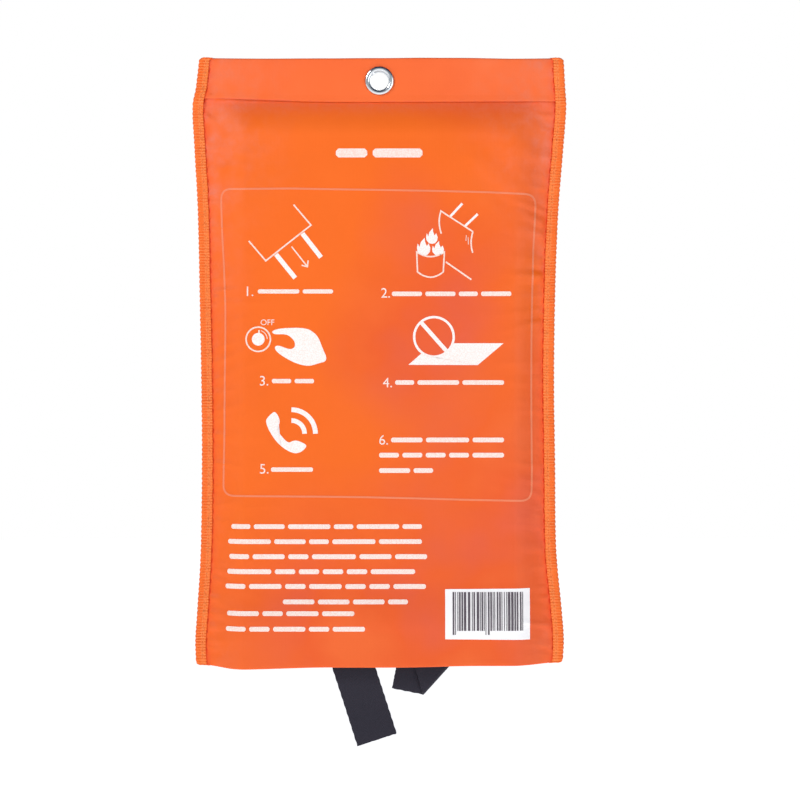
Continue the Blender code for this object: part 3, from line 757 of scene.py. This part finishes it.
INK = 0.00006
front_panel_now = front_panel.evaluated_get(bpy.context.evaluated_depsgraph_get())
panel_surface = BVHTree.FromObject(front_panel_now, bpy.context.evaluated_depsgraph_get())


def on_panel(x, z, lift):
    """A place just in front of the printed panel."""
    hit = panel_surface.ray_cast(Vector((x, -0.05, z)), Vector((0.0, 1.0, 0.0)))[0]
    return Vector((x, hit.y - lift, z))


def printed(name, bm, finish, lift=0.00005, thick=INK, cell=0.0015):
    """Lays flat shapes, drawn in the upright plane, on the panel: cut to small cells, then set on its
    surface.
    """
    bmesh.ops.triangulate(bm, faces=bm.faces)
    for axis in (0, 2):
        places = [v.co[axis] for v in bm.verts]
        first, last = math.ceil(min(places) / cell), math.floor(max(places) / cell)
        normal = Vector((1.0, 0.0, 0.0)) if axis == 0 else Vector((0.0, 0.0, 1.0))
        for k in range(first, last + 1):
            geom = bm.verts[:] + bm.edges[:] + bm.faces[:]
            bmesh.ops.bisect_plane(bm, geom=geom, dist=1e-7, plane_co=normal * k * cell, plane_no=normal)
    bmesh.ops.recalc_face_normals(bm, faces=bm.faces)
    turned = [f for f in bm.faces if f.normal.y > 0]
    bmesh.ops.reverse_faces(bm, faces=turned)
    for vert in bm.verts:
        vert.co = on_panel(vert.co.x, vert.co.z, lift)
    made = piece(name, bm, finish, smooth=False)
    wall = made.modifiers.new("Ink thickness", "SOLIDIFY")
    wall.thickness = thick
    wall.offset = 1.0
    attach(made, "pouch")
    return made


PRINT_CENTRE = Vector((0.01025, 0.0, -0.15935))
PRINT_SCALE = 0.9927  # the artwork is cut this much smaller than it was drawn


def mm(points):
    """Places on the panel of points in the artwork, in millimetres."""
    drawn = [Vector((x / 1000, 0.0, z / 1000)) for x, z in points]
    return [PRINT_CENTRE + (place - PRINT_CENTRE) * PRINT_SCALE for place in drawn]


def filled(bm, points):
    """A flat shape from its outline, in millimetres."""
    bm.faces.new([bm.verts.new(p) for p in mm(points)])


def line(bm, points, width, closed=False):
    """A drawn line of even width through points in millimetres, with mitred corners."""
    points = mm(points)
    count = len(points)
    pairs = []
    for k, here in enumerate(points):
        before = points[k - 1] if k or closed else here
        after = points[(k + 1) % count] if k < count - 1 or closed else here
        one, two = (here - before), (after - here)
        one = one.normalized() if one.length else two.normalized()
        two = two.normalized() if two.length else one
        along = (one + two).normalized()
        side = Vector((-along.z, 0.0, along.x)) * (width / 2000 / max(0.35, along.dot(one)))
        pairs.append((bm.verts.new(here - side), bm.verts.new(here + side)))
    for k in range(count if closed else count - 1):
        (a, b), (c, d) = pairs[k], pairs[(k + 1) % count]
        bm.faces.new((a, c, d, b))


def arc(centre, radius, start, end, steps=24):
    """Points round part of a circle, by angles in degrees."""
    turn = [math.radians(start + (end - start) * k / steps) for k in range(steps + 1)]
    return [(centre[0] + radius * math.cos(t), centre[1] + radius * math.sin(t)) for t in turn]


def ring(bm, centre, radius, width):
    """A drawn ring: a disc with its inside taken out."""
    place = Matrix.Translation(mm([centre])[0]) @ Matrix.Rotation(math.pi / 2, 4, "X")
    made = bmesh.ops.create_circle(bm, cap_ends=True, segments=64, radius=radius / 1000, matrix=place)
    disc = list({f for v in made["verts"] for f in v.link_faces})
    bmesh.ops.inset_region(bm, faces=disc, thickness=width / 1000, use_even_offset=True, use_boundary=True)
    bmesh.ops.delete(bm, geom=disc, context="FACES")


def bar(bm, left, right, middle, height):
    """A bar with softened corners."""
    low, high, soft = middle - height / 2, middle + height / 2, height * 0.28
    filled(
        bm,
        [(left, low + soft), (left + soft, low), (right - soft, low), (right, low + soft)]
        + [(right, high - soft), (right - soft, high), (left + soft, high), (left, high - soft)],
    )


def screen_ink(name, code, patchy):
    """White screen ink: a thin satin film, a little uneven, that lets some of the orange through."""
    made, tree = blank(name)
    where = node(tree, "TexCoord")
    # the squeegee leaves the film thin in specks of 0.5 mm or so
    specks = node(tree, "TexNoise", {"Vector": (where, "Object"), "Scale": 1800.0, "Detail": 3.0})
    thin = node(tree, "MapRange", {0: (specks, 0), 1: 0.35, 2: 0.6, 3: patchy, 4: 0.0})
    shade = node(tree, "Mix", {0: (thin, 0), 6: rgb(code), 7: rgb("#f89a6c")}, data_type="RGBA")
    return surface(made, {"Base Color": (shade, 2), "Roughness": 0.5})


white_ink = screen_ink("white screen ink", "#fffaf6", 0.25)
thin_ink = screen_ink("white screen ink, thin line", "#f08056", 0.15)
word_ink = screen_ink("white screen ink, small marks", "#fdece4", 0.35)

# the frame's four sides, which the full panel draws in at the waist, and the corners that join them
FRAME_TOP = [
    (-69.7, -53.9), (-44.7, -53.7), (-19.7, -54.1), (5.3, -54.5), (30.3, -54.9), (55.3, -55.5),
    (68.2, -56.2),
]
FRAME_RIGHT = [(78.1, -65.4), (77.1, -84.4), (76.6, -104.4), (76.2, -126.0), (76.1, -154.4), (76.4, -196.0)]
FRAME_BOTTOM = [
    (67.7, -209.7), (42.7, -209.2), (17.7, -208.5), (-7.3, -207.9), (-32.3, -207.6),
    (-69.7, -207.4),
]
FRAME_LEFT = [
    (-78.4, -199.0), (-77.9, -176.0), (-77.7, -150.0), (-77.4, -124.0), (-77.4, -110.0),
    (-78.1, -92.0),
]
FRAME_LEFT += [(-78.9, -78.0), (-79.4, -63.0)]
FRAME_CORNERS = [(78.4, -56.3), (76.2, -209.9), (-78.5, -207.3), (-79.6, -53.5)]
FRAME_TURN = 5.5


def curve(start, control, end, steps=8):
    """Points on a drawn curve from start to end, bent towards control."""
    start, control, end = Vector(start), Vector(control), Vector(end)
    turn = [k / steps for k in range(steps + 1)]
    return [tuple((1 - t) ** 2 * start + 2 * t * (1 - t) * control + t * t * end) for t in turn]


def turned_corner(last, corner, first):
    """Points round a softened corner, from the end of one side of the frame to the start of the next."""
    last, corner, first = Vector(last), Vector(corner), Vector(first)
    start = corner + (last - corner).normalized() * FRAME_TURN
    end = corner + (first - corner).normalized() * FRAME_TURN
    return curve(start, corner, end)


def rounded(points):
    """A drawn outline with its corners eased, by cutting each corner twice."""
    for _ in range(2):
        cut = []
        for k, here in enumerate(points):
            after = points[(k + 1) % len(points)]
            cut += [tuple(here[i] + (after[i] - here[i]) * share for i in (0, 1)) for share in (0.25, 0.75)]
        points = cut
    return points


bm = bmesh.new()
sides = [FRAME_TOP, FRAME_RIGHT, FRAME_BOTTOM, FRAME_LEFT]
outline = []
for k, run in enumerate(sides):
    outline += run + turned_corner(run[-1], FRAME_CORNERS[k], sides[(k + 1) % 4][0])
line(bm, outline, 0.95, closed=True)
printed("printed_frame_line", bm, thin_ink, cell=0.0012)

bm = bmesh.new()
strokes = bmesh.new()
# step 1: the pouch's mouth and its two tapes, with an arrow along the pull
line(strokes, [(-42.9, -61.8), (-34.2, -72.0), (-56.8, -89.8), (-65.3, -79.9)], 0.75)
line(bm, [(-38.5, -76.2), (-29.2, -88.1)], 2.3)
line(bm, [(-51.7, -86.6), (-42.1, -98.4)], 2.3)
line(strokes, [(-43.9, -82.7), (-36.2, -92.5)], 0.65)
line(strokes, [(-38.9, -92.0), (-36.0, -92.8), (-35.6, -89.6)], 0.65)
# step 2: the blanket held over a burning pot
line(strokes, curve((30.9, -76.2), (28.9, -70.6), (30.7, -64.9)) + [(46.7, -75.2)], 0.75)
line(strokes, curve((46.7, -75.2), (44.9, -80.6), (46.6, -85.8)), 0.75)
line(bm, [(35.4, -67.6), (41.4, -61.1)], 1.2)
line(bm, [(42.8, -72.4), (49.1, -66.4)], 1.2)
pot = curve((18.6, -85.4), (25.6, -90.0), (32.4, -85.4)) + curve((31.9, -95.3), (25.5, -100.7), (19.0, -95.3))
line(strokes, pot, 0.75, closed=True)
line(strokes, [(33.1, -90.3), (45.9, -99.2)], 0.8)
line(strokes, [(43.4, -77.0), (43.2, -79.8)], 0.4)
line(strokes, [(44.3, -78.0), (44.4, -81.6)], 0.3)
FLAME = [(-0.26, 0.0), (-0.46, 0.20), (-0.50, 0.42), (-0.44, 0.66), (-0.32, 0.46), (-0.22, 0.74), (0.06, 1.0)]
FLAME += [(0.08, 0.76), (0.20, 0.52), (0.34, 0.66), (0.46, 0.40), (0.42, 0.18), (0.24, 0.0), (0.0, -0.04)]
for x, z, wide, high in ((22.2, -86.8, 7.0, 8.6), (29.4, -86.8, 6.2, 7.0), (26.3, -81.0, 6.0, 7.6)):
    filled(bm, [(x + u * wide, z + v * high) for u, v in FLAME])
# step 3: a hand at a cooker's knob
ring(strokes, (-60.6, -129.0), 6.4, 0.75)
filled(bm, arc((-60.6, -129.0), 3.2, 0, 345, 23))
line(strokes, [(-60.2, -124.4), (-60.2, -126.2)], 0.8)
line(strokes, arc((-60.6, -129.0), 4.5, 72, 2, 10), 0.4)
HAND = [(-53.4, -124.6), (-48.8, -123.4), (-37.1, -123.2), (-32.6, -125.6), (-30.2, -128.6), (-29.0, -132.2)]
HAND += [(-25.6, -139.8), (-31.0, -141.2), (-35.6, -142.6), (-42.1, -141.0), (-48.6, -137.4), (-52.0, -134.6)]
HAND += [(-52.4, -132.6), (-50.4, -132.0), (-45.4, -134.0), (-42.8, -133.6), (-42.0, -131.4), (-43.2, -128.8)]
HAND += [(-46.4, -126.4), (-52.0, -126.6), (-53.6, -125.8)]
filled(bm, rounded(HAND))
# step 4: the blanket on the ground, under a ring that says to leave it
RING, RING_RADIUS = (27.2, -127.8), 10.4
ring(bm, RING, RING_RADIUS, 1.2)
line(bm, [(21.1, -120.9), (33.3, -134.7)], 2.0)
lying = [(14.4, -141.8), (49.1, -141.9), (62.0, -131.0)]
filled(bm, lying + arc(RING, RING_RADIUS - 0.1, -18, -127, 20))
# step 5: a telephone receiver, ringing
HANDSET = [
    (-52.1, -165.1), (-50.2, -167.9), (-49.7, -171.0), (-51.4, -173.8), (-49.6, -176.6),
    (-45.7, -181.0),
]
HANDSET += [
    (-43.2, -179.7), (-41.0, -179.5), (-36.4, -181.6), (-36.8, -183.3), (-39.3, -185.5),
    (-42.6, -186.2),
]
HANDSET += [
    (-47.6, -183.8), (-52.1, -179.6), (-55.5, -174.0), (-56.8, -170.4), (-56.3, -168.4),
    (-53.5, -165.7),
]
filled(bm, rounded(HANDSET))
line(bm, arc((-44.0, -176.2), 12.0, 0, 90), 2.4)
line(bm, arc((-44.0, -176.2), 6.6, 0, 90), 2.3)
printed("printed_pictograms", bm, white_ink)
printed("printed_pictogram_lines", strokes, screen_ink("white screen ink, fine lines", "#fde6da", 0.4))

# (left, right, middle height, letter height) of each line, in millimetres; the last value is 1 for a
# heavy line
WORDING = [
    (-21.8, 21.5, -35.9, 9.0, 1),
    (-60.8, -23.2, -105.1, 5.0, 0),
    (6.2, 65.8, -106.3, 5.4, 0),
    (-53.8, -32.7, -149.9, 5.2, 0),
    (7.8, 62.2, -150.6, 5.4, 0),
    (-54.2, -33.2, -194.1, 5.2, 0),
    (5.8, 62.2, -179.3, 5.6, 0),
    (-0.2, 62.2, -186.9, 5.6, 0),
    (-0.2, 26.8, -194.6, 5.6, 0),
    (-74.2, 21.2, -222.6, 5.6, 0),
    (-75.8, 21.2, -230.1, 5.6, 0),
    (-75.2, 23.8, -237.6, 5.8, 0),
    (-76.2, 17.8, -245.1, 5.8, 0),
    (-77.2, 23.2, -252.5, 5.8, 0),
    (-48.2, 14.2, -260.1, 5.6, 0),
    (-76.2, -12.5, -265.9, 5.6, 0),
    (-76.8, -7.2, -273.6, 5.6, 0),
]
WORD_GAP = 0.30  # between words, as a share of a letter
chance = random.Random(17)
bm = bmesh.new()
for left, right, middle, letter, heavy in WORDING:
    letters = max(2, round((right - left) / letter / 1.02))
    pitch = (right - left) / (letters - WORD_GAP)
    done = 0
    while done < letters:
        word = min(chance.choice((2, 2, 3, 4)) if not heavy else 2, letters - done)
        word = word + 1 if letters - done - word == 1 else word
        start = left + done * pitch
        bar(bm, start, start + (word - WORD_GAP) * pitch, middle, letter * (0.50 if heavy else 0.42))
        done += word
printed("printed_word_bars", bm, word_ink)

NUMERALS = ((-65.2, -107.4), (3.1, -108.2), (-57.7, -152.1), (4.1, -153.0), (-57.6, -196.1), (2.1, -181.6))
marks = [(f"{count}.", x, z, 0.0069) for count, (x, z) in enumerate(NUMERALS, 1)]
marks += [("OFF", -56.0, -121.9, 0.0040)]
bm = bmesh.new()
for body, x, z, size in marks:
    words = bpy.data.curves.new(body, "FONT")
    words.body = body
    words.size = size
    words.align_x = "CENTER"
    holder = bpy.data.objects.new("numeral", words)
    flat = bpy.data.meshes.new_from_object(holder)
    flat.transform(Matrix.Translation(mm([(x, z)])[0]) @ Matrix.Rotation(math.pi / 2, 4, "X"))
    bm.from_mesh(flat)
    bpy.data.objects.remove(holder)
    bpy.data.meshes.remove(flat)
printed("printed_numerals", bm, word_ink)

label_paper = screen_ink("white label film", "#fdfbfb", 0.0)
bm = bmesh.new()
filled(bm, [(32.8, -253.8), (75.2, -253.5), (75.2, -279.0), (32.8, -278.6)])
printed("plain_bar_label", bm, label_paper, lift=0.00006, thick=0.00010, cell=0.0012)


def label_ink(name):
    """Dark thermal print, greyer where the bars are thin."""
    made, tree = blank(name)
    where = node(tree, "TexCoord")
    fade = node(tree, "TexNoise", {"Vector": (where, "Object"), "Scale": 260.0, "Detail": 3.0})
    tone = node(tree, "Mix", {0: (fade, 0), 6: rgb("#3c2f3c"), 7: rgb("#6e646c")}, data_type="RGBA")
    return surface(made, {"Base Color": (tone, 2), "Roughness": 0.55})


BAR_MODULE = 0.40
bm = bmesh.new()
x = 36.5
count = 0
while x < 72.4:
    width = BAR_MODULE * chance.choice((1, 1, 2, 2, 3))
    low = -276.4 if count in (0, 1, 13, 14) or x > 72.0 else -274.4
    filled(bm, [(x, low), (x + width, low), (x + width, -255.2), (x, -255.2)])
    x += width + BAR_MODULE * chance.choice((1, 1, 2))
    count += 1
printed("plain_label_bars", bm, label_ink("label print"), lift=0.00024, thick=0.00004, cell=0.0012)

# --- Mouth fastenings -----------------------------------------------------------------
# Two pairs of hook-and-loop patches, sewn to the inside of the hems, that hold the mouth shut until
# the tapes are pulled. The hook side is a bed of stiff nylon hooks and the loop side a soft felted
# pile.


def pile_tape(name, dark, light, grain):
    """Woven nylon fastener in black: dull, with a rough pile whose tips carry a painted highlight."""
    made, tree = blank(name)
    where = node(tree, "TexCoord")
    # hooks stand 1.25 mm apart, and tufts of loops 0.7 mm
    tuft = node(tree, "TexVoronoi", {"Vector": (where, "Object"), "Scale": grain})
    # painted highlight on the tips of the tufts, and painted shade between them
    tone = node(tree, "Mix", {0: (tuft, 0), 6: rgb(light), 7: rgb(dark)}, data_type="RGBA")
    relief = node(tree, "Bump", {"Height": (tuft, 0), "Strength": 0.8, "Distance": 0.0003})
    return surface(made, {
        "Base Color": (tone, 2), "Normal": (relief, 0), "Roughness": 0.85, "Sheen Weight": 0.4,
    })


hook_finish = pile_tape("nylon hook tape", "#1b1b1f", "#4a4a50", 800.0)
loop_finish = pile_tape("nylon loop tape", "#24242a", "#5a5a62", 1500.0)
for hand in ("left", "right"):
    for kind, finish, seed in (("hook", hook_finish, 51.0), ("loop", loop_finish, 52.0)):
        low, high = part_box(f"{hand}_{kind}_patch")
        inward = 1 if kind == "hook" else -1
        base = low.y if kind == "hook" else high.y
        middle = (low + high) / 2
        wide, tall = high.x - low.x, high.z - low.z

        def patch_place(share, row):
            x = middle.x + share * wide / 2
            z = high.z - tall * row / 60
            edge = ease((1.0 - abs(share)) / 0.10) * ease(min(row, 60 - row) / 5)
            tufts = max(0.0, noise.noise(Vector((x / 0.0006, seed, z / 0.0006))))
            return x, base + inward * (0.00025 + 0.00035 * edge + 0.00038 * edge * tufts), z

        bm = sheet_grid(80, 60, patch_place)
        pile = bm.faces[:]
        made = bmesh.ops.extrude_face_region(bm, geom=pile)
        for vert in (v for v in made["geom"] if isinstance(v, bmesh.types.BMVert)):
            vert.co.y = base
        bmesh.ops.recalc_face_normals(bm, faces=bm.faces)
        patch = piece(f"{hand}_{kind}_fastener", bm, finish)
        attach(patch, "pouch")
        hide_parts(f"{hand}_{kind}_patch")

# --- Blanket --------------------------------------------------------------------------
# About a square metre of woven glass-fibre cloth, hemmed and folded as one sheet: seven plies in
# pleats across, then four folds down. The two rear folds hang lower than the front ones, and the
# tapes are sewn to them. The hem is drawn where it shows, on the outermost ply.

SHEET = 0.00030  # thickness of the glass cloth
LOOSE_EDGE = pack_high.z - 0.0012  # where the first and last folds' free edges lie
CLOTH_DOWN = 0.93  # length of the drawn sheet down its folds, in metres
PLEATS = 7
PLEAT_PITCH = 0.00040
FOLD_PITCH = 0.00285
TONGUE_TOP = -0.2365
pack_half = (pack_high.x - pack_low.x) / 2
pack_round = (pack_high.y - pack_low.y) / 2
flat_reach = pack_half - pack_round

BLANKET_HEM = 0.0120
HEM_STANDS = 0.00030  # how far the double hem stands proud

even_shares = [k / 18 for k in range(19)]
hem_share = BLANKET_HEM / (2 * pack_half)
ply_shares = sorted(even_shares + [hem_share - 0.004, hem_share, hem_share + 0.004])
across_steps = []  # (distance across, how far through the pleats)
for pleat in range(PLEATS):
    way = 1 if pleat % 2 == 0 else -1
    offset = (pleat - (PLEATS - 1) / 2) * PLEAT_PITCH
    across_steps += [(way * pack_half * (2 * share - 1), offset) for share in ply_shares]
    if pleat < PLEATS - 1:
        for k in range(1, 4):
            angle = math.pi * k / 4
            bulge = way * (pack_half + PLEAT_PITCH / 2 * math.sin(angle))
            across_steps.append((bulge, offset + PLEAT_PITCH / 2 * (1.0 - math.cos(angle))))

down_steps = []  # (height, front to back, turn of the sheet's normal)
turn_room = FOLD_PITCH / 2 + (PLEATS - 1) / 2 * PLEAT_PITCH + SHEET / 2
tops = pack_high.z - turn_room
step_low, pack_bottom = TONGUE_TOP + turn_room, pack_low.z + turn_room
for fold in range(4):
    centre = (fold - 1.5) * FOLD_PITCH
    low = step_low if fold < 2 else pack_bottom
    start, end = (tops, low) if fold % 2 == 0 else (low, tops)
    if fold == 0:
        start = LOOSE_EDGE
    if fold == 3:
        end = LOOSE_EDGE
    shares = [k / 30 for k in range(31)]
    if fold == 0:
        hem_depth = BLANKET_HEM / (start - end)
        shares = sorted(shares + [hem_depth - 0.003, hem_depth, hem_depth + 0.003])
    facing = 0.0 if fold % 2 == 0 else math.pi
    down_steps += [(start + (end - start) * share, centre, facing) for share in shares]
    if fold < 3:
        for k in range(1, 9):
            angle = math.pi * k / 9
            way = -1 if fold % 2 == 0 else 1
            height = end + way * FOLD_PITCH / 2 * math.sin(angle)
            depth = centre + FOLD_PITCH / 2 * (1.0 - math.cos(angle))
            down_steps.append((height, depth, angle if way < 0 else math.pi - angle))


def pack_place(share, row):
    """A corner of the folded sheet, with the pack's soft rounded edges squeezed into its outer plies."""
    x, offset = across_steps[round((share + 1.0) / 2 * (len(across_steps) - 1))]
    z, y, turn = down_steps[row]
    y += offset * math.cos(turn)
    z += offset * math.sin(turn)
    half_here = flat_reach + math.sqrt(max(0.0, pack_round**2 - y * y)) - SHEET
    untidy = 1.0 - 0.012 * (0.5 + 0.5 * noise.noise(Vector((offset * 3000, y * 900, z / 0.040))))
    x *= half_here / pack_half * untidy
    squeeze = (pack_round - math.sqrt(max(0.0, pack_round**2 - y * y))) * 0.8
    z += squeeze * (ease((z - tops + 0.02) / 0.02) * -1.0 + ease((pack_bottom + 0.02 - z) / 0.02))
    if y > -0.0001:
        y -= 0.00075 * ease((TONGUE_TOP - 0.002 - z) / 0.008)
    soft = 0.00020 * noise.noise(Vector((x / 0.034, 5.0, z / 0.034)))
    soft += 0.00010 * noise.noise(Vector((x / 0.012, 6.0, z / 0.016)))
    if share < 2 / PLEATS - 1 and z > TONGUE_TOP and y < -FOLD_PITCH:
        beside = ease((BLANKET_HEM - pack_half - x) / 0.0008)
        below = ease((z - LOOSE_EDGE + BLANKET_HEM) / 0.0008)
        soft -= HEM_STANDS * max(beside, below)
    return x, y + soft, z


def glass_cloth_finish(name):
    """Bare woven glass fibre: a warm off-white with a silky glint along its flat yarns."""
    made, tree = blank(name)
    where = node(tree, "UVMap", uv_map="cloth")
    # yarns are 0.8 mm apart
    threads = {"Vector": (where, 0), "Scale": math.tau / 0.0008 / 20}
    warp = node(tree, "TexWave", threads, bands_direction="X")
    weft = node(tree, "TexWave", threads, bands_direction="Y")
    yarns = node(tree, "Math", {0: (warp, 1), 1: (weft, 1)}, operation="MULTIPLY")
    cloud = node(tree, "TexNoise", {"Vector": (where, 0), "Scale": 25.0, "Detail": 3.0})
    tone = node(tree, "Mix", {0: (cloud, 0), 6: rgb("#efece2"), 7: rgb("#fcfaf4")}, data_type="RGBA")
    # painted shade in the hollows between the yarns
    shade = node(tree, "Mix", {0: (yarns, 0), 6: rgb("#d8d3c4"), 7: (tone, 2)}, data_type="RGBA")
    relief = node(tree, "Bump", {"Height": (yarns, 0), "Strength": 0.6, "Distance": 0.0002})
    return surface(made, {
        "Base Color": (shade, 2), "Normal": (relief, 0), "Roughness": 0.55, "Sheen Weight": 0.25,
    })


def settled(made):
    """The same object with its modifiers made part of its mesh."""
    held = made.evaluated_get(bpy.context.evaluated_depsgraph_get())
    mesh = bpy.data.meshes.new_from_object(held)
    made.modifiers.clear()
    made.data = mesh
    return made


glass_cloth = glass_cloth_finish("woven glass fibre")
bm = sheet_grid(
    len(across_steps) - 1,
    len(down_steps) - 1,
    pack_place,
    cloth=lambda share, row: ((share + 1) / 2, CLOTH_DOWN * row / (len(down_steps) - 1)),
)
blanket = solid(piece("folded_glass_cloth", bm, glass_cloth), SHEET)
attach(blanket, "blanket")
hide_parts("blanket_cloth")

blanket_now = blanket.evaluated_get(bpy.context.evaluated_depsgraph_get())
blanket_surface = BVHTree.FromObject(blanket_now, bpy.context.evaluated_depsgraph_get())
hem_in, hem_top = BLANKET_HEM - 0.0018, LOOSE_EDGE
bm = bmesh.new()
for start, end in (
    ((hem_in - pack_half, hem_top - 0.003), (hem_in - pack_half, TONGUE_TOP + 0.006)),
    ((hem_in - pack_half, hem_top - hem_in), (pack_half - 0.006, hem_top - hem_in)),
):
    start, end = Vector((start[0], -0.05, start[1])), Vector((end[0], -0.05, end[1]))
    count = round((end - start).length / 0.0038)
    for k in range(count):
        ends = []
        for share in ((k + 0.12) / count, (k + 0.84) / count):
            hit = blanket_surface.ray_cast(start.lerp(end, share), Vector((0.0, 1.0, 0.0)))[0]
            ends.append(hit - Vector((0.0, 0.00008, 0.0)))
        stitch(bm, ends[0], ends[1], SEWING_THREAD)
hem_row = piece("blanket_hem_stitches", bm, spun_thread("undyed polyester thread", "#c9c3b2", "#aca694"))
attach(hem_row, "blanket")

# --- Pull tapes -----------------------------------------------------------------------
# Two lengths of 20 mm black polyester webbing in a herringbone weave. Each is sewn flat to the
# blanket's hem with a crossed box of stitches and hangs out of the mouth; the right one is turned up
# on itself in a slanting fold.

WEBBING_WIDE = 0.0206  # nominally 20 mm
WEBBING_THICK = 0.00115
SEWN = 0.0280
MOUTH_ROOM = 0.0205
TAPE_Y = -0.0018
FOLD_DROP = 0.0040
FOLD_TURN = 0.00075
FOLD_SLOPE = math.radians(47.8 - 16.9)
TURNED_UP = 0.0208


def webbing_finish(name):
    """Spun polyester webbing, nearly black with a violet cast: matt, with the chevrons of a
    herringbone weave.
    """
    made, tree = blank(name)
    where = node(tree, "UVMap", uv_map="cloth")
    split = node(tree, "SeparateXYZ", {0: (where, 0)})
    # the weave turns every 2.5 mm across the tape, and its ridges are 0.9 mm apart
    zigzag = node(tree, "Math", {0: (split, 0), 1: 0.0025}, operation="PINGPONG")
    climb = node(tree, "Math", {0: (split, 1), 1: (zigzag, 0)}, operation="ADD")
    phase = node(tree, "Math", {0: (climb, 0), 1: math.tau / 0.0009}, operation="MULTIPLY")
    ridge = node(tree, "Math", {0: (phase, 0)}, operation="SINE")
    height = node(tree, "MapRange", {0: (ridge, 0), 1: -1.0, 2: 1.0})
    fuzz = node(tree, "TexNoise", {"Vector": (where, 0), "Scale": 1400.0, "Detail": 3.0})
    # painted shade in the weave's hollows and a painted highlight on its ridges, following the same height as
    # the bump
    tone = node(tree, "Mix", {0: (height, 0), 6: rgb("#15131a"), 7: rgb("#2b2934")}, data_type="RGBA")
    shade = node(tree, "Mix", {0: (fuzz, 0), 6: (tone, 2), 7: rgb("#302d39")}, data_type="RGBA")
    relief = node(tree, "Bump", {"Height": (height, 0), "Strength": 0.5, "Distance": 0.00015})
    nap = node(
        tree, "Bump", {"Height": (fuzz, 0), "Normal": (relief, 0), "Strength": 0.3, "Distance": 0.0001}
    )
    return surface(made, {
        "Base Color": (shade, 2), "Normal": (nap, 0), "Roughness": 0.85, "Sheen Weight": 0.2,
        "Specular IOR Level": 0.25,
    })


webbing = webbing_finish("polyester webbing")
tape_thread = spun_thread("grey polyester thread", "#a8a39c", "#6f6a66")
for hand, mouth_x, lean, folded in (
    ("left", -0.0129, math.radians(18.0), False),
    ("right", 0.0284, math.radians(16.9), True),
):
    top = -(MOUTH_ROOM / math.cos(lean) + SEWN)
    end = FOLD_DROP + math.pi * FOLD_TURN / math.cos(FOLD_SLOPE) + TURNED_UP if folded else 0.0380
    rows = 300
    fold_line = Vector((math.cos(FOLD_SLOPE), 0.0, math.sin(FOLD_SLOPE)))
    fold_out = Vector((math.sin(FOLD_SLOPE), 0.0, -math.cos(FOLD_SLOPE)))
    stand = Matrix.Translation((mouth_x, TAPE_Y, MOUTH)) @ Matrix.Rotation(-lean, 4, "Y")

    def on_tape(u, down, front=0.0):
        """A point of the tape: u across it, down from the mouth along it, and front of its middle surface."""
        flat = Vector((u, 0.0, -down))
        if folded:
            from_fold = flat + Vector((0.0, 0.0, FOLD_DROP))
            along, past = from_fold.dot(fold_line), from_fold.dot(fold_out)
            angle = min(math.pi, max(0.0, past / FOLD_TURN))
            rest = min(past, 0.0) - max(0.0, past - math.pi * FOLD_TURN)
            flat = Vector((0.0, 0.0, -FOLD_DROP)) + fold_line * along
            flat += fold_out * (rest + FOLD_TURN * math.sin(angle))
            flat.y = FOLD_TURN * (1.0 - math.cos(angle))
        else:
            flat.y = -0.0016 * ease((down - 0.006) / 0.034) ** 2
        flat.y -= front
        return stand @ flat

    def tape_place(share, row):
        down = top + (end - top) * row / rows
        u = share * WEBBING_WIDE / 2 + 0.00010 * math.sin(down / 0.0007) * (abs(share) > 0.97)
        if row == rows:
            down += 0.00025 * noise.noise(Vector((share * 9.0, mouth_x * 100, 0.0)))
        return on_tape(u, down)

    bm = sheet_grid(24, rows, tape_place, cloth=lambda share, row: (share * 0.01, (end - top) * row / rows))
    tape = solid(piece(f"{hand}_pull_tape", bm, webbing), WEBBING_THICK)
    soft_edge = tape.modifiers.new("Soft edges", "BEVEL")
    soft_edge.width = 0.00025
    soft_edge.segments = 2
    soft_edge.angle_limit = math.radians(50)
    settled(tape)
    drop = 0.0052 if not folded else -0.0142
    middle = stand @ Vector((0.0, 0.0, -drop))
    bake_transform(tape)
    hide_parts(f"{hand}_tape_root", f"{hand}_tape_end")

    bm = bmesh.new()
    box_middle = top + SEWN / 2
    half_wide, half_long = 0.0070, 0.0110
    corners = [(u * half_wide, d * half_long) for u, d in ((-1, -1), (1, -1), (1, 1), (-1, 1))]
    runs = [(corners[k], corners[(k + 1) % 4]) for k in range(4)]
    runs += [(corners[0], corners[2]), (corners[1], corners[3])]
    for (u0, d0), (u1, d1) in runs:
        count = round(math.hypot(u1 - u0, d1 - d0) / 0.0024)
        for k in range(count):
            ends = [
                on_tape(u0 + (u1 - u0) * t, box_middle + d0 + (d1 - d0) * t, WEBBING_THICK / 2 + 0.00008)
                for t in ((k + 0.12) / count, (k + 0.88) / count)
            ]
            stitch(bm, ends[0], ends[1], SEWING_THREAD)
    box = piece(f"{hand}_tape_box_stitches", bm, tape_thread)
    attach(box, "blanket")
    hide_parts(f"{hand}_tape_stitching")
